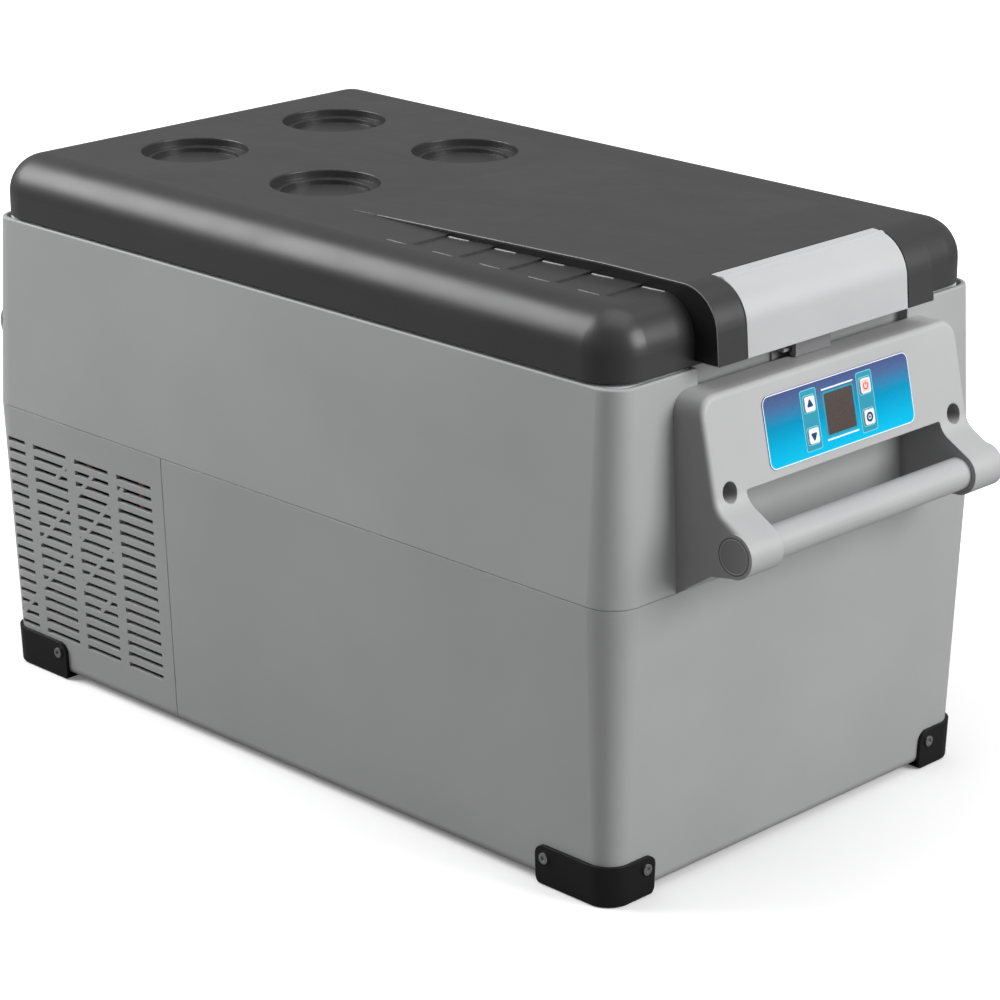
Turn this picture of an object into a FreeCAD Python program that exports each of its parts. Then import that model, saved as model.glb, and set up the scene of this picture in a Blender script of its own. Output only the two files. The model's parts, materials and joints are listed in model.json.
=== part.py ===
"""Portable compressor cooler: tub with a hinged lid, latch, two carrying handles and a control panel.

Frame: Z up, +X towards the control panel, origin at the middle of the footprint on the ground.
All sizes are millimetres and come from the spreadsheet "Size". Bracketed names in the expressions
below (Size.body_length and so on) are its aliases.
"""
import FreeCAD, Part
import math
import os
import Sketcher
from FreeCAD import Placement, Rotation, Vector

DIMENSIONS = (
    # cabinet
    ("body_length", 545.2, "length at the waist seam"),
    ("body_width", 320.0, "width at the waist seam"),
    ("foot_lift", 3.0, "shell floor above the ground"),
    ("seam_height", 178.0, "waist seam above the ground"),
    ("rim_height", 300.0, "top of the tub rim above the ground"),
    ("rim_round", 1.2, "rounding of the outer edge of the rim"),
    ("base_taper", 6.8, "walls lean in from the seam to the floor"),
    ("rim_taper", 5.75, "walls lean in from the seam to the rim"),
    ("body_corner", 20.0, "vertical corner radius at the seam"),
    ("base_edge", 7.0, "radius round the floor"),
    ("shell_wall", 2.8, "wall of the plastic shells"),
    ("seam_chamfer", 0.5, "bevel that shows as the seam line"),
    ("cover_length", 170.0, "compressor cover along X"),
    ("cover_gap", 0.5, "joint between cover and lower shell"),
    # tub and insulation
    ("tub_inset_x", 40.6, "mouth of the tub from the seam wall at the ends"),
    ("tub_inset_y", 38.0, "mouth of the tub from the seam wall at the sides"),
    ("tub_floor", 50.0, "floor of the deep part above the ground"),
    ("tub_shelf_rise", 28.0, "shelf over the compressor above the seam"),
    ("tub_step_gap", 14.6, "step between deep part and shelf from the cover joint"),
    ("tub_corner", 22.0, "inner vertical corner radius"),
    ("tub_wall", 1.8, "wall of the tub"),
    ("flange_thickness", 2.4, "flange of the tub at the rim"),
    ("fit_gap", 0.3, "clearance between nested pieces"),
    ("evaporator_thickness", 1.4, "cold jacket round the tub"),
    ("evaporator_low", 70.0, "bottom of the cold jacket"),
    ("evaporator_drop", 10.0, "top of the cold jacket below the shelf"),
    ("divider_thickness", 1.2, "steel sheet over the compressor bay"),
    # vents
    ("vent_rows", 18, "slots in a column"),
    ("vent_pitch", 7.42, "slot spacing"),
    ("vent_slot", 2.9, "slot height"),
    ("vent_bottom", 29.4, "lowest slot above the ground"),
    ("vent_length", 142.5, "all four columns"),
    ("vent_rib", 8.6, "rib between columns"),
    ("vent_short", 17.5, "rearmost column"),
    ("vent_front", 11.8, "from the cover joint to the first slot"),
    ("vent_bar", 3.0, "width of a diagonal bar"),
    # feet
    ("foot_wall", 2.2, "foot proud of the shell"),
    ("foot_height", 25.0, "top of a foot above the ground"),
    ("foot_leg_x", 57.0, "foot along the long side"),
    ("foot_leg_y", 36.5, "foot along the end"),
    ("foot_corner", 6.5, "rounded end of a foot"),
    ("foot_screw_inset", 7.3, "screw from the end of a leg"),
    ("foot_screw_height", 17.7, "screw above the ground"),
    ("foot_screw_head", 3.3, "head radius"),
    ("foot_screw_shank", 1.6, "shank radius"),
    # lid
    ("lid_inset_x", 6.6, "lid from the seam wall at the ends"),
    ("lid_inset_y", 6.2, "lid from the seam wall at the sides"),
    ("lid_gap", 1.8, "lid edge above the rim"),
    ("lid_height", 37.7, "edge to top"),
    ("lid_corner", 25.0, "vertical corner radius"),
    ("lid_shoulder", 24.0, "rounding of the top edge"),
    ("lid_wall", 3.4, "wall of the lid"),
    ("lid_side_height", 12.0, "straight inside wall under the shoulder"),
    ("lid_shoulder_inset", 17.0, "cavity inset under the shoulder"),
    ("hinge_notch", 6.0, "lid set back at the hinge"),
    ("bridge_width", 184.0, "raised band along the lid"),
    ("bridge_start", -7.0, "X where the band starts to rise"),
    ("bridge_rise", 6.5, "rise at the front"),
    ("bridge_crest_back", 72.6, "end of the rise behind the seam wall"),
    ("bridge_proud", 11.4, "lower edge of the band's front beyond the seam wall"),
    ("bridge_lift", 2.7, "lower edge of the band's front above the lid edge"),
    ("bridge_draft", 3.5, "front face leans back"),
    ("bridge_round", 25.0, "rounding of the front of the band"),
    ("step_start_back", 193.6, "first step beside the band behind the seam wall"),
    ("step_pitch", 37.25, "step spacing"),
    ("step_depth", 1.1, "height of a step"),
    ("step_width", 30.0, "width of the stepped strip"),
    ("step_count", 5, "steps"),
    ("cup_diameter", 67.0, "drink recess"),
    ("cup_depth", 5.0, "drink recess"),
    ("cup_ledge", 6.0, "ledge round the well of a drink recess"),
    ("cup_well", 3.0, "well below the ledge"),
    ("cup_floor", 3.0, "plastic under a drink recess"),
    ("cup_pitch", 121.0, "front pair from the rear pair"),
    ("cup_rear_inset", 84.0, "rear pair from the rear of the lid"),
    ("cup_side", 59.0, "Y of each recess"),
    ("gasket_width", 8.0, "lid seal"),
    ("gasket_inset", 13.0, "lid seal from the lid edge"),
    ("plug_depth", 7.0, "lid liner plug below the lid edge"),
    ("plug_gap", 4.0, "plug to tub"),
    # hinge
    ("hinge_length", 172.0, "all knuckles"),
    ("hinge_radius", 3.5, "knuckle"),
    ("hinge_pin", 1.6, "pin radius"),
    ("hinge_inset", 6.1, "hinge axis from the seam wall"),
    ("hinge_rise", 6.5, "hinge axis above the rim"),
    # latch
    ("latch_width", 137.0, "flap"),
    ("latch_gap", 1.0, "slit round the flap"),
    ("latch_thickness", 3.0, "flap"),
    ("latch_length", 27.5, "upper edge of the flap behind the band's front"),
    ("latch_axis_back", 21.0, "flap axis behind the band's front"),
    ("latch_pin", 1.2, "pin radius"),
    ("latch_knuckle", 3.0, "knuckle radius"),
    ("hook_width", 30.0, "hook on the flap"),
    ("scoop_depth", 7.0, "finger recess in the end wall"),
    ("scoop_width", 180.0, "finger recess in the end wall"),
    ("scoop_height", 12.0, "finger recess below the rim"),
    # handles
    ("bracket_width", 220.0, "handle bracket"),
    ("bracket_height", 113.0, "top of the bracket above the seam"),
    ("panel_proud", 13.4, "top of the panel face beyond the seam wall"),
    ("bracket_corner", 12.0, "upper corners of the panel"),
    ("bracket_edge", 3.5, "rounding round the panel"),
    ("bracket_knee", 14.0, "hollow between panel and loop"),
    ("panel_rise", 53.5, "lower end of the panel face above the seam"),
    ("panel_lean", 13.4, "panel face leans out over its height"),
    ("window_width", 168.0, "hand opening"),
    ("window_corner", 1.5, "corners of the hand opening"),
    ("window_rise", 59.4, "top of the hand opening above the seam"),
    ("bar_proud", 39.9, "bar axis beyond the seam wall"),
    ("bar_rise", 31.5, "bar axis above the seam"),
    ("bar_radius", 9.5, "bar"),
    ("loop_radius", 12.7, "loop round the bar"),
    ("cap_radius", 10.5, "end cap of the bar"),
    ("cap_thickness", 2.0, "end cap of the bar"),
    ("handle_screw_y", 97.0, "bracket screws from the middle"),
    ("handle_screw_rise", 61.0, "bracket screws above the seam"),
    ("handle_screw_well", 5.8, "radius of the screw well"),
    ("handle_screw_seat", 9.0, "plastic under the screw head"),
    # control panel
    ("overlay_length", 125.5, "control sticker"),
    ("overlay_height", 41.0, "control sticker"),
    ("overlay_thickness", 0.4, "control sticker"),
    ("overlay_rise", 84.0, "middle of the sticker above the seam"),
    ("panel_wall", 3.0, "bracket wall behind the sticker"),
    ("display_width", 24.0, "display"),
    ("display_height", 23.0, "display"),
    ("button_side", 8.5, "key cap"),
    ("button_gap", 0.3, "slit round a key cap"),
    ("button_across", 25.0, "up and down keys from the middle"),
    ("button_across_right", 23.1, "power and set keys from the middle"),
    ("button_up", 8.9, "key above or below the middle"),
    ("button_proud", 0.8, "key cap proud of the sticker"),
    ("button_travel", 0.5, "key travel"),
    # machinery
    ("can_radius", 46.0, "compressor can"),
    ("can_height", 66.0, "straight part of the can"),
    ("can_dome", 20.0, "rise of each domed end"),
    ("can_back", 79.4, "compressor axis behind the cover joint"),
    ("can_inset", 115.0, "compressor axis from the left seam wall"),
    ("grommet_height", 9.0, "rubber mount"),
    ("tray_length", 148.0, "steel tray"),
    ("tray_inset", 12.0, "edge of the steel tray from the seam wall"),
    ("tray_thickness", 1.5, "steel tray"),
    ("tray_rim", 8.0, "upturned edge of the tray"),
    ("fan_size", 92.0, "fan frame"),
    ("fan_depth", 25.0, "fan frame"),
    ("fan_bore", 86.0, "opening of the fan frame"),
    ("fan_back", 77.4, "fan axis behind the cover joint"),
    ("fan_inset", 56.0, "middle of the fan frame from the right seam wall"),
    ("fan_z", 75.0, "fan axis above the ground"),
    ("fan_blades", 7, "blades"),
    ("condenser_length", 124.0, "condenser block"),
    ("condenser_height", 112.0, "condenser block"),
    ("condenser_depth", 20.0, "condenser block"),
    ("condenser_fins", 30, "fins"),
    ("tube_radius", 2.5, "refrigerant tube"),
    ("socket_inset", 68.0, "power socket from the left seam wall"),
    ("socket_z", 62.0, "power socket above the ground"),
    ("socket_width", 44.0, "power socket plate"),
    ("socket_height", 28.0, "power socket plate"),
)

# Places that follow from the sizes above, so that a longer or taller cabinet carries its fittings along.
FOLLOWING = (
    ("cover_x", "cover_length - body_length / 2", "cover joint"),
    ("tub_length", "body_length - 2 * tub_inset_x", "mouth of the tub"),
    ("tub_width", "body_width - 2 * tub_inset_y", "mouth of the tub"),
    ("tub_shelf", "seam_height + tub_shelf_rise", "shelf above the ground"),
    ("tub_step", "cover_x + tub_step_gap", "X of the step of the tub"),
    ("evaporator_high", "tub_shelf - evaporator_drop", "top of the cold jacket above the ground"),
    ("lid_length", "body_length - 2 * lid_inset_x", "length of the lid"),
    ("lid_width", "body_width - 2 * lid_inset_y", "width of the lid"),
    ("bridge_crest", "body_length / 2 - bridge_crest_back", "X where the band's rise ends"),
    ("bridge_front", "body_length / 2 + bridge_proud", "X of the band's front at its lower edge"),
    ("step_start", "body_length / 2 - step_start_back", "X of the first step"),
    ("cup_rear", "cup_rear_inset - lid_length / 2", "X of the rear drink recesses"),
    ("cup_front", "cup_rear + cup_pitch", "X of the front drink recesses"),
    ("hinge_x", "hinge_inset - body_length / 2", "X of the hinge axis"),
    ("latch_start", "bridge_front - latch_length", "X of the upper edge of the flap"),
    ("latch_axis_x", "bridge_front - latch_axis_back", "X of the flap axis"),
    ("bracket_top", "seam_height + bracket_height", "top of the bracket above the ground"),
    ("bracket_reach", "body_length / 2 + panel_proud", "X of the panel face at its top"),
    ("panel_bottom", "seam_height + panel_rise", "lower end of the panel face above the ground"),
    ("window_top", "seam_height + window_rise", "top of the hand opening above the ground"),
    ("bar_x", "body_length / 2 + bar_proud", "X of the bar axis"),
    ("bar_z", "seam_height + bar_rise", "bar axis above the ground"),
    ("handle_screw_z", "seam_height + handle_screw_rise", "bracket screws above the ground"),
    ("overlay_centre", "seam_height + overlay_rise", "middle of the sticker above the ground"),
    ("can_x", "cover_x - can_back", "X of the compressor axis"),
    ("can_y", "body_width / 2 - can_inset", "Y of the compressor axis"),
    ("tray_width", "body_width - 2 * tray_inset", "steel tray"),
    ("fan_x", "cover_x - fan_back", "X of the fan axis"),
    ("fan_y", "fan_inset - body_width / 2", "Y of the middle of the fan frame"),
    ("socket_y", "body_width / 2 - socket_inset", "Y of the power socket"),
)

doc = FreeCAD.newDocument("CompressorCooler")
sheet = doc.addObject("Spreadsheet::Sheet", "Size")
formulas = tuple((alias, "=" + formula, note) for alias, formula, note in FOLLOWING)
for row, (alias, value, note) in enumerate(DIMENSIONS + formulas, start=1):
    sheet.set(f"A{row}", alias)
    sheet.set(f"B{row}", str(value))
    sheet.set(f"C{row}", note)
    sheet.setAlias(f"B{row}", alias)
doc.recompute()

# Places that several pieces share, as expressions on the sheet.
HALF_X = "(Size.body_length / 2)"
HALF_Y = "(Size.body_width / 2)"
BASE_X = f"({HALF_X} - Size.base_taper)"
BASE_Y = f"({HALF_Y} - Size.base_taper)"
RIM_X = f"({HALF_X} - Size.rim_taper)"
RIM_Y = f"({HALF_Y} - Size.rim_taper)"
COVER_X = "Size.cover_x"
INSIDE_Z = "(Size.foot_lift + Size.shell_wall)"
LID_Z = "(Size.rim_height + Size.lid_gap)"
LID_TOP = f"({LID_Z} + Size.lid_height)"
BRIDGE_TOP = f"({LID_TOP} + Size.bridge_rise)"
BRIDGE_Z = f"({LID_Z} + Size.bridge_lift)"
HINGE_Z = "(Size.rim_height + Size.hinge_rise)"
LATCH_Z = f"({BRIDGE_TOP} - Size.latch_knuckle)"
PANEL_SLOPE = "(Size.panel_lean / (Size.bracket_top - Size.panel_bottom))"
PANEL_X = f"(Size.bracket_reach + (Size.bracket_top - Size.overlay_centre) * {PANEL_SLOPE})"
NODES = []


def number(expression):
    """The value of an expression on the sheet."""
    return float(sheet.evalExpression(expression))


def leaning(half, height, above):
    """Expression: distance of an outer wall from the middle at a height above or below the seam."""
    if above:
        share = f"(({height}) - Size.seam_height) / (Size.rim_height - Size.seam_height)"
        return f"({half} - Size.rim_taper * {share})"
    share = f"(Size.seam_height - ({height})) / (Size.seam_height - Size.foot_lift)"
    return f"({half} - Size.base_taper * {share})"


def end_wall(height, above=False):
    return leaning(HALF_X, height, above)


def side_wall(height, above=False):
    return leaning(HALF_Y, height, above)


def node(item, label):
    """Name a finished piece; it becomes one exported file."""
    item.Label = label
    NODES.append(item)
    return item


# ---------------------------------------------------------------- sketches and features
def new_body(name):
    return doc.addObject("PartDesign::Body", name)


def new_sketch(body, plane, offset):
    sketch = body.newObject("Sketcher::SketchObject", body.Name + "_sketch")
    support = next(item for item in body.Origin.OriginFeatures if item.Role == plane)
    sketch.AttachmentSupport = [(support, "")]
    sketch.MapMode = "FlatFace"
    sketch.setExpression("AttachmentOffset.Base.z", offset)
    return sketch


def bind(sketch, kind, name, expression, *where):
    """Add a dimension to a sketch and tie it to the sheet."""
    index = sketch.addConstraint(Sketcher.Constraint(kind, *where, number(expression)))
    sketch.renameConstraint(index, name)
    sketch.setExpression("Constraints." + name, expression)


def rounded_rectangle(body, x_low, x_high, y_low, y_high, radius, offset="0", plane="XY_Plane"):
    """Sketch of a rectangle with four equal rounded corners."""
    sketch = new_sketch(body, plane, offset)
    left, right, low, high, r = map(number, (x_low, x_high, y_low, y_high, radius))
    lines = (
        ((left + r, low), (right - r, low)),
        ((right, low + r), (right, high - r)),
        ((right - r, high), (left + r, high)),
        ((left, high - r), (left, low + r)),
    )
    for start, end in lines:
        sketch.addGeometry(Part.LineSegment(Vector(*start, 0), Vector(*end, 0)), False)
    centres = ((right - r, low + r), (right - r, high - r), (left + r, high - r), (left + r, low + r))
    for turn, centre in enumerate(centres):
        circle = Part.Circle(Vector(*centre, 0), Vector(0, 0, 1), r)
        start = math.pi / 2 * (turn - 1)
        sketch.addGeometry(Part.ArcOfCircle(circle, start, start + math.pi / 2), False)
    for side in range(4):
        sketch.addConstraint(Sketcher.Constraint("Tangent", side, 2, 4 + side, 1))
        sketch.addConstraint(Sketcher.Constraint("Tangent", 4 + side, 2, (side + 1) % 4, 1))
        sketch.addConstraint(Sketcher.Constraint("Vertical" if side % 2 else "Horizontal", side))
    for corner in (5, 6, 7):
        sketch.addConstraint(Sketcher.Constraint("Equal", 4, corner))
    bind(sketch, "Radius", "corner", radius, 4)
    bind(sketch, "DistanceY", "low", y_low, -1, 1, 0, 1)
    bind(sketch, "DistanceX", "right", x_high, -1, 1, 1, 1)
    bind(sketch, "DistanceY", "high", y_high, -1, 1, 2, 1)
    bind(sketch, "DistanceX", "left", x_low, -1, 1, 3, 1)
    return sketch


def polygon(body, points, offset="0", plane="XZ_Plane"):
    """Sketch of a closed outline whose corners are tied to the sheet."""
    sketch = new_sketch(body, plane, offset)
    corners = [Vector(number(across), number(up), 0) for across, up in points]
    count = len(corners)
    for index in range(count):
        sketch.addGeometry(Part.LineSegment(corners[index], corners[(index + 1) % count]), False)
    for index in range(count):
        sketch.addConstraint(Sketcher.Constraint("Coincident", index, 2, (index + 1) % count, 1))
    for index, (across, up) in enumerate(points):
        bind(sketch, "DistanceX", f"across{index}", across, -1, 1, index, 1)
        bind(sketch, "DistanceY", f"up{index}", up, -1, 1, index, 1)
    return sketch


def circles(body, centres, radius, offset="0", plane="XY_Plane"):
    """Sketch of equal circles."""
    sketch = new_sketch(body, plane, offset)
    for index, (across, up) in enumerate(centres):
        centre = Vector(number(across), number(up), 0)
        sketch.addGeometry(Part.Circle(centre, Vector(0, 0, 1), number(radius)), False)
        bind(sketch, "DistanceX", f"across{index}", across, -1, 1, index, 3)
        bind(sketch, "DistanceY", f"up{index}", up, -1, 1, index, 3)
        bind(sketch, "Radius", f"radius{index}", radius, index)
    return sketch


def feature(body, kind, profile, length, midplane=False, backwards=False, taper=None):
    """Pad or Pocket of a sketch, checked to have changed the body."""
    before = body.Shape.Volume if body.Tip else 0.0
    item = body.newObject("PartDesign::" + kind, body.Name + "_" + kind.lower())
    item.Profile = profile
    item.setExpression("Length", length)
    item.SideType = "Symmetric" if midplane else "One side"
    item.Reversed = backwards
    if taper:
        item.setExpression("TaperAngle", taper)
    doc.recompute()
    if abs(body.Shape.Volume - before) < 1e-3:
        raise RuntimeError(item.Name + " changes nothing")
    return item


def loft(body, kind, low, high):
    item = body.newObject("PartDesign::" + kind, body.Name + "_loft")
    item.Profile = low
    item.Sections = [high]
    item.Ruled = True
    doc.recompute()
    return item


def dress(body, kind, size, chosen):
    """Fillet or Chamfer on the edges of the tip for which chosen(edge) is true."""
    tip = body.Tip
    names = [f"Edge{i}" for i, edge in enumerate(tip.Shape.Edges, start=1) if chosen(edge)]
    item = body.newObject("PartDesign::" + kind, body.Name + "_" + kind.lower())
    item.Base = (tip, names)
    item.setExpression("Radius" if kind == "Fillet" else "Size", size)
    doc.recompute()
    return item


def level(edge, height):
    """True for an edge that lies at one height."""
    box = edge.BoundBox
    return abs(box.ZMin - height) < 0.01 and abs(box.ZMax - height) < 0.01


def near(edge, **place):
    """True for an edge whose box centre has the given coordinates."""
    centre = edge.BoundBox.Center
    return all(abs(getattr(centre, axis) - value) < 0.02 for axis, value in place.items())


# ---------------------------------------------------------------- primitives and booleans
def primitive(kind, name, at=("0", "0", "0"), turn=None, **sizes):
    """Part primitive with its sizes and place tied to the sheet; turn is (axis, degrees)."""
    item = doc.addObject("Part::" + kind, name)
    for prop, expression in sizes.items():
        item.setExpression(prop, expression)
    if turn:
        item.Placement = Placement(Vector(), Rotation(Vector(*turn[0]), turn[1]))
    for axis, expression in zip("xyz", at):
        item.setExpression("Placement.Base." + axis, expression)
    return item


def box(name, x_low, x_high, y_low, y_high, z_low, z_high):
    return primitive(
        "Box", name, (x_low, y_low, z_low),
        Length=f"({x_high}) - ({x_low})", Width=f"({y_high}) - ({y_low})",
        Height=f"({z_high}) - ({z_low})",
    )


ALONG_X = ((0, 1, 0), 90)
ALONG_Y = ((1, 0, 0), -90)


def rod(name, at, radius, length, turn=None):
    """Cylinder from a point along +Z, or along +X or +Y with a turn."""
    return primitive("Cylinder", name, at, turn, Radius=radius, Height=length)


def fuse(name, *items):
    item = doc.addObject("Part::MultiFuse", name)
    item.Shapes = list(items)
    return item


def cut(name, base, tool):
    item = doc.addObject("Part::Cut", name)
    item.Base = base
    item.Tool = tool
    return item


def common(name, *items):
    item = doc.addObject("Part::MultiCommon", name)
    item.Shapes = list(items)
    return item


def group(name, *items):
    """Several loose solids in one object."""
    item = doc.addObject("Part::Compound", name)
    item.Links = list(items)
    return item


def shape_object(name, shape):
    item = doc.addObject("Part::Feature", name)
    item.Shape = shape
    return item


# ---------------------------------------------------------------- shells
LOW_DRAFT = "-atan(Size.base_taper / (Size.seam_height - Size.foot_lift))"
HIGH_DRAFT = "-atan(Size.rim_taper / (Size.rim_height - Size.seam_height))"


def wall_outline(body, inset, height, above, x_low="", x_high=""):
    """Outline of the cabinet at a height, inset from the outer walls; X ends may be given."""
    across, deep = f"({end_wall(height, above)} - ({inset}))", f"({side_wall(height, above)} - ({inset}))"
    corner = f"Size.body_corner - ({inset}) - ({HALF_X} - {end_wall(height, above)})"
    return rounded_rectangle(body, x_low or f"-{across}", x_high or across, f"-{deep}", deep,
                             corner, height)


def lower_block(body):
    """Tapered block from the seam down to the shell floor."""
    feature(body, "Pad", wall_outline(body, "0", "Size.seam_height", False),
            "Size.seam_height - Size.foot_lift", backwards=True, taper=LOW_DRAFT)


def upper_block(body, kind, inset):
    """Tapered block, or room, from the seam up to the rim."""
    feature(body, kind, wall_outline(body, inset, "Size.seam_height", True),
            "Size.rim_height - Size.seam_height", backwards=kind == "Pocket", taper=HIGH_DRAFT)


def lower_half(name, keep_front):
    """Lower casing on one side of the vertical joint."""
    body = new_body(name)
    lower_block(body)
    floor = number("Size.foot_lift")
    dress(body, "Fillet", "Size.base_edge", lambda edge: level(edge, floor))
    if keep_front:
        ends = {"x_low": f"{COVER_X} + Size.shell_wall"}
        side = ("-Size.body_length", COVER_X)
    else:
        ends = {"x_high": f"{COVER_X} + 2 * Size.body_corner"}
        side = (f"{COVER_X} - Size.cover_gap", "Size.body_length")
    loft(body, "SubtractiveLoft", wall_outline(body, "Size.shell_wall", INSIDE_Z, False, **ends),
         wall_outline(body, "Size.shell_wall", "Size.seam_height", False, **ends))
    width = "Size.body_width"
    window = rounded_rectangle(body, side[0], side[1], f"-{width}", width, "1", "-1")
    feature(body, "Pocket", window, "2 * Size.seam_height", backwards=True)
    return body


lower_plain = lower_half("lower_shell_plain", True)
cover_plain = lower_half("cover_plain", False)

upper = new_body("upper_shell_plain")
upper_block(upper, "Pad", "0")
seam = number("Size.seam_height")
dress(upper, "Chamfer", "Size.seam_chamfer", lambda edge: level(edge, seam))
rim = number("Size.rim_height")
dress(upper, "Fillet", "Size.rim_round", lambda edge: level(edge, rim))
upper_block(upper, "Pocket", "Size.shell_wall")
SCOOP_X = f"({RIM_X} - Size.scoop_depth)"
SCOOP_Z = "(Size.rim_height - Size.scoop_height)"
scoop_wall = rounded_rectangle(
    upper, f"{SCOOP_X} - Size.shell_wall", f"{RIM_X} - 1",
    "-(Size.scoop_width / 2 + Size.shell_wall)", "Size.scoop_width / 2 + Size.shell_wall", "2",
    f"{SCOOP_Z} - Size.shell_wall")
feature(upper, "Pad", scoop_wall, "Size.scoop_height + Size.shell_wall")
scoop = rounded_rectangle(upper, SCOOP_X, f"{HALF_X} + 5", "-Size.scoop_width / 2",
                          "Size.scoop_width / 2", "3", SCOOP_Z)
feature(upper, "Pocket", scoop, "Size.scoop_height + 1", backwards=True)


# ---------------------------------------------------------------- compressor cover
def vent_slots():
    """All slots of both grilles, with the diagonal bars left standing."""
    front = number(f"{COVER_X} - Size.vent_front")
    rib, short = number("Size.vent_rib"), number("Size.vent_short")
    length = (number("Size.vent_length") - short - 3 * rib) / 3
    columns = [(front - (i + 1) * length - i * rib, length) for i in range(3)]
    columns.append((front - 3 * (length + rib) - short, short))
    pitch, tall = number("Size.vent_pitch"), number("Size.vent_slot")
    rows = int(number("Size.vent_rows"))
    bottom = number("Size.vent_bottom") - tall / 2
    outer, inner = number(f"{HALF_Y} + 1"), number(f"{BASE_Y} - 3 * Size.shell_wall")
    slots = []
    for side in (-1, 1):
        near_y = -outer if side < 0 else inner
        for x, span in columns:
            for row in range(rows):
                corner = Vector(x, near_y, bottom + row * pitch)
                slots.append(Part.makeBox(span, outer - inner, tall, corner))
    height = rows * pitch
    bars = []
    # each bar runs up and forward; its start and end are shares of the column block's height
    for start, low, high in ((0.96, 0.80, 0.98), (0.76, 0.40, 0.93), (0.53, 0.02, 0.90),
                             (0.31, 0.30, 0.62), (0.08, 0.22, 0.30)):
        bar = Part.makeBox(height * (high - low) * math.sqrt(2), 2 * outer, number("Size.vent_bar"))
        bar.rotate(Vector(), Vector(0, 1, 0), -45)
        offset = front - number("Size.vent_length")
        bar.translate(Vector(offset + height * (low - start + 0.5), -outer, bottom + height * low))
        bars.append(bar)
    return Part.makeCompound(slots).cut(Part.makeCompound(bars))


slots = shape_object("vent_slots", vent_slots())
SOCKET_X = f"(-{end_wall('Size.socket_z')})"
socket_hole = box("socket_hole", f"{SOCKET_X} - 5", f"{SOCKET_X} + 12",
                  "Size.socket_y - Size.socket_width / 2 + 3", "Size.socket_y + Size.socket_width / 2 - 3",
                  "Size.socket_z - Size.socket_height / 2 + 3", "Size.socket_z + Size.socket_height / 2 - 3")


# ---------------------------------------------------------------- feet and their screws
foot_ring = new_body("foot_ring")


for kind, inset, low in (("Pad", "-Size.foot_wall", "0"), ("Pocket", "0", "Size.foot_lift")):
    outline = wall_outline(foot_ring, inset, "Size.foot_height", False)
    feature(foot_ring, kind, outline, f"Size.foot_height - {low}", backwards=kind == "Pad", taper=LOW_DRAFT)
dress(foot_ring, "Fillet", "2", lambda edge: level(edge, 0.0))

SCREW_X = f"({BASE_X} + Size.foot_wall - Size.foot_leg_x + Size.foot_screw_inset)"
SCREW_Y = f"({BASE_Y} + Size.foot_wall - Size.foot_leg_y + Size.foot_screw_inset)"
SIDE_Y = f"({side_wall('Size.foot_screw_height')} + Size.foot_wall)"
END_X = f"({end_wall('Size.foot_screw_height')} + Size.foot_wall)"


def screw(name, at, turn, backwards):
    """Foot screw and its blank without the drive; at is the seat of the head, turn its axis."""
    head = rod(name + "_head", at, "Size.foot_screw_head", "1.2", turn)
    shank = rod(name + "_shank", at, "Size.foot_screw_shank", "9", turn)
    moved, drive_moved = (("-9", "0.4") if not backwards else ("0", "-1.2"))
    axis = "x" if turn is ALONG_X else "y"
    place = dict(zip("xyz", at))[axis]
    shank.setExpression("Placement.Base." + axis, f"({place}) + ({moved})")
    if backwards:
        head.setExpression("Placement.Base." + axis, f"({place}) - 1.2")
    drive = primitive("Prism", name + "_drive", at, turn, Circumradius="1.6", Height="0.8")
    drive.setExpression("Placement.Base." + axis, f"({place}) + ({drive_moved})")
    blank = fuse(name + "_blank", head, shank)
    return cut(name, blank, drive), blank


screws, bores, feet = [], [], []
for end_name, sx in (("front", 1), ("rear", -1)):
    for side_name, sy in (("right", -1), ("left", 1)):
        tag = f"{end_name}_{side_name}"
        on_side, bore_side = screw(
            f"side_screw_{tag}", (f"{sx} * {SCREW_X}", f"{sy} * {SIDE_Y}", "Size.foot_screw_height"),
            ALONG_Y, sy < 0)
        on_end, bore_end = screw(
            f"end_screw_{tag}", (f"{sx} * {END_X}", f"{sy} * {SCREW_Y}", "Size.foot_screw_height"),
            ALONG_X, sx < 0)
        screws += [on_side, on_end]
        bores += [bore_side, bore_end]
        far_x, far_y = f"{sx} * 2 * Size.body_length", f"{sy} * 2 * Size.body_width"
        cut_x = f"{sx} * ({BASE_X} + Size.foot_wall - Size.foot_leg_x)"
        cut_y = f"{sy} * ({BASE_Y} + Size.foot_wall - Size.foot_leg_y)"
        along = new_body(f"leg_x_{tag}")
        ends = (cut_x, far_x) if sx > 0 else (far_x, cut_x)
        profile = rounded_rectangle(along, *ends, "-1", "Size.foot_height", "Size.foot_corner",
                                    "0", "XZ_Plane")
        feature(along, "Pad", profile, "4 * Size.body_width", midplane=True)
        across = new_body(f"leg_y_{tag}")
        ends = (cut_y, far_y) if sy > 0 else (far_y, cut_y)
        profile = rounded_rectangle(across, *ends, "-1", "Size.foot_height", "Size.foot_corner",
                                    "0", "YZ_Plane")
        feature(across, "Pad", profile, "4 * Size.body_length", midplane=True)
        feet.append((tag, common(f"foot_blank_{tag}", foot_ring, along, across)))
screw_bores = group("screw_bores", *bores)
for tag, blank in feet:
    node(cut(f"foot_cut_{tag}", blank, screw_bores), f"foot_{tag}")
node(group("foot_screw_group", *screws), "foot_screws")


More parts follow.
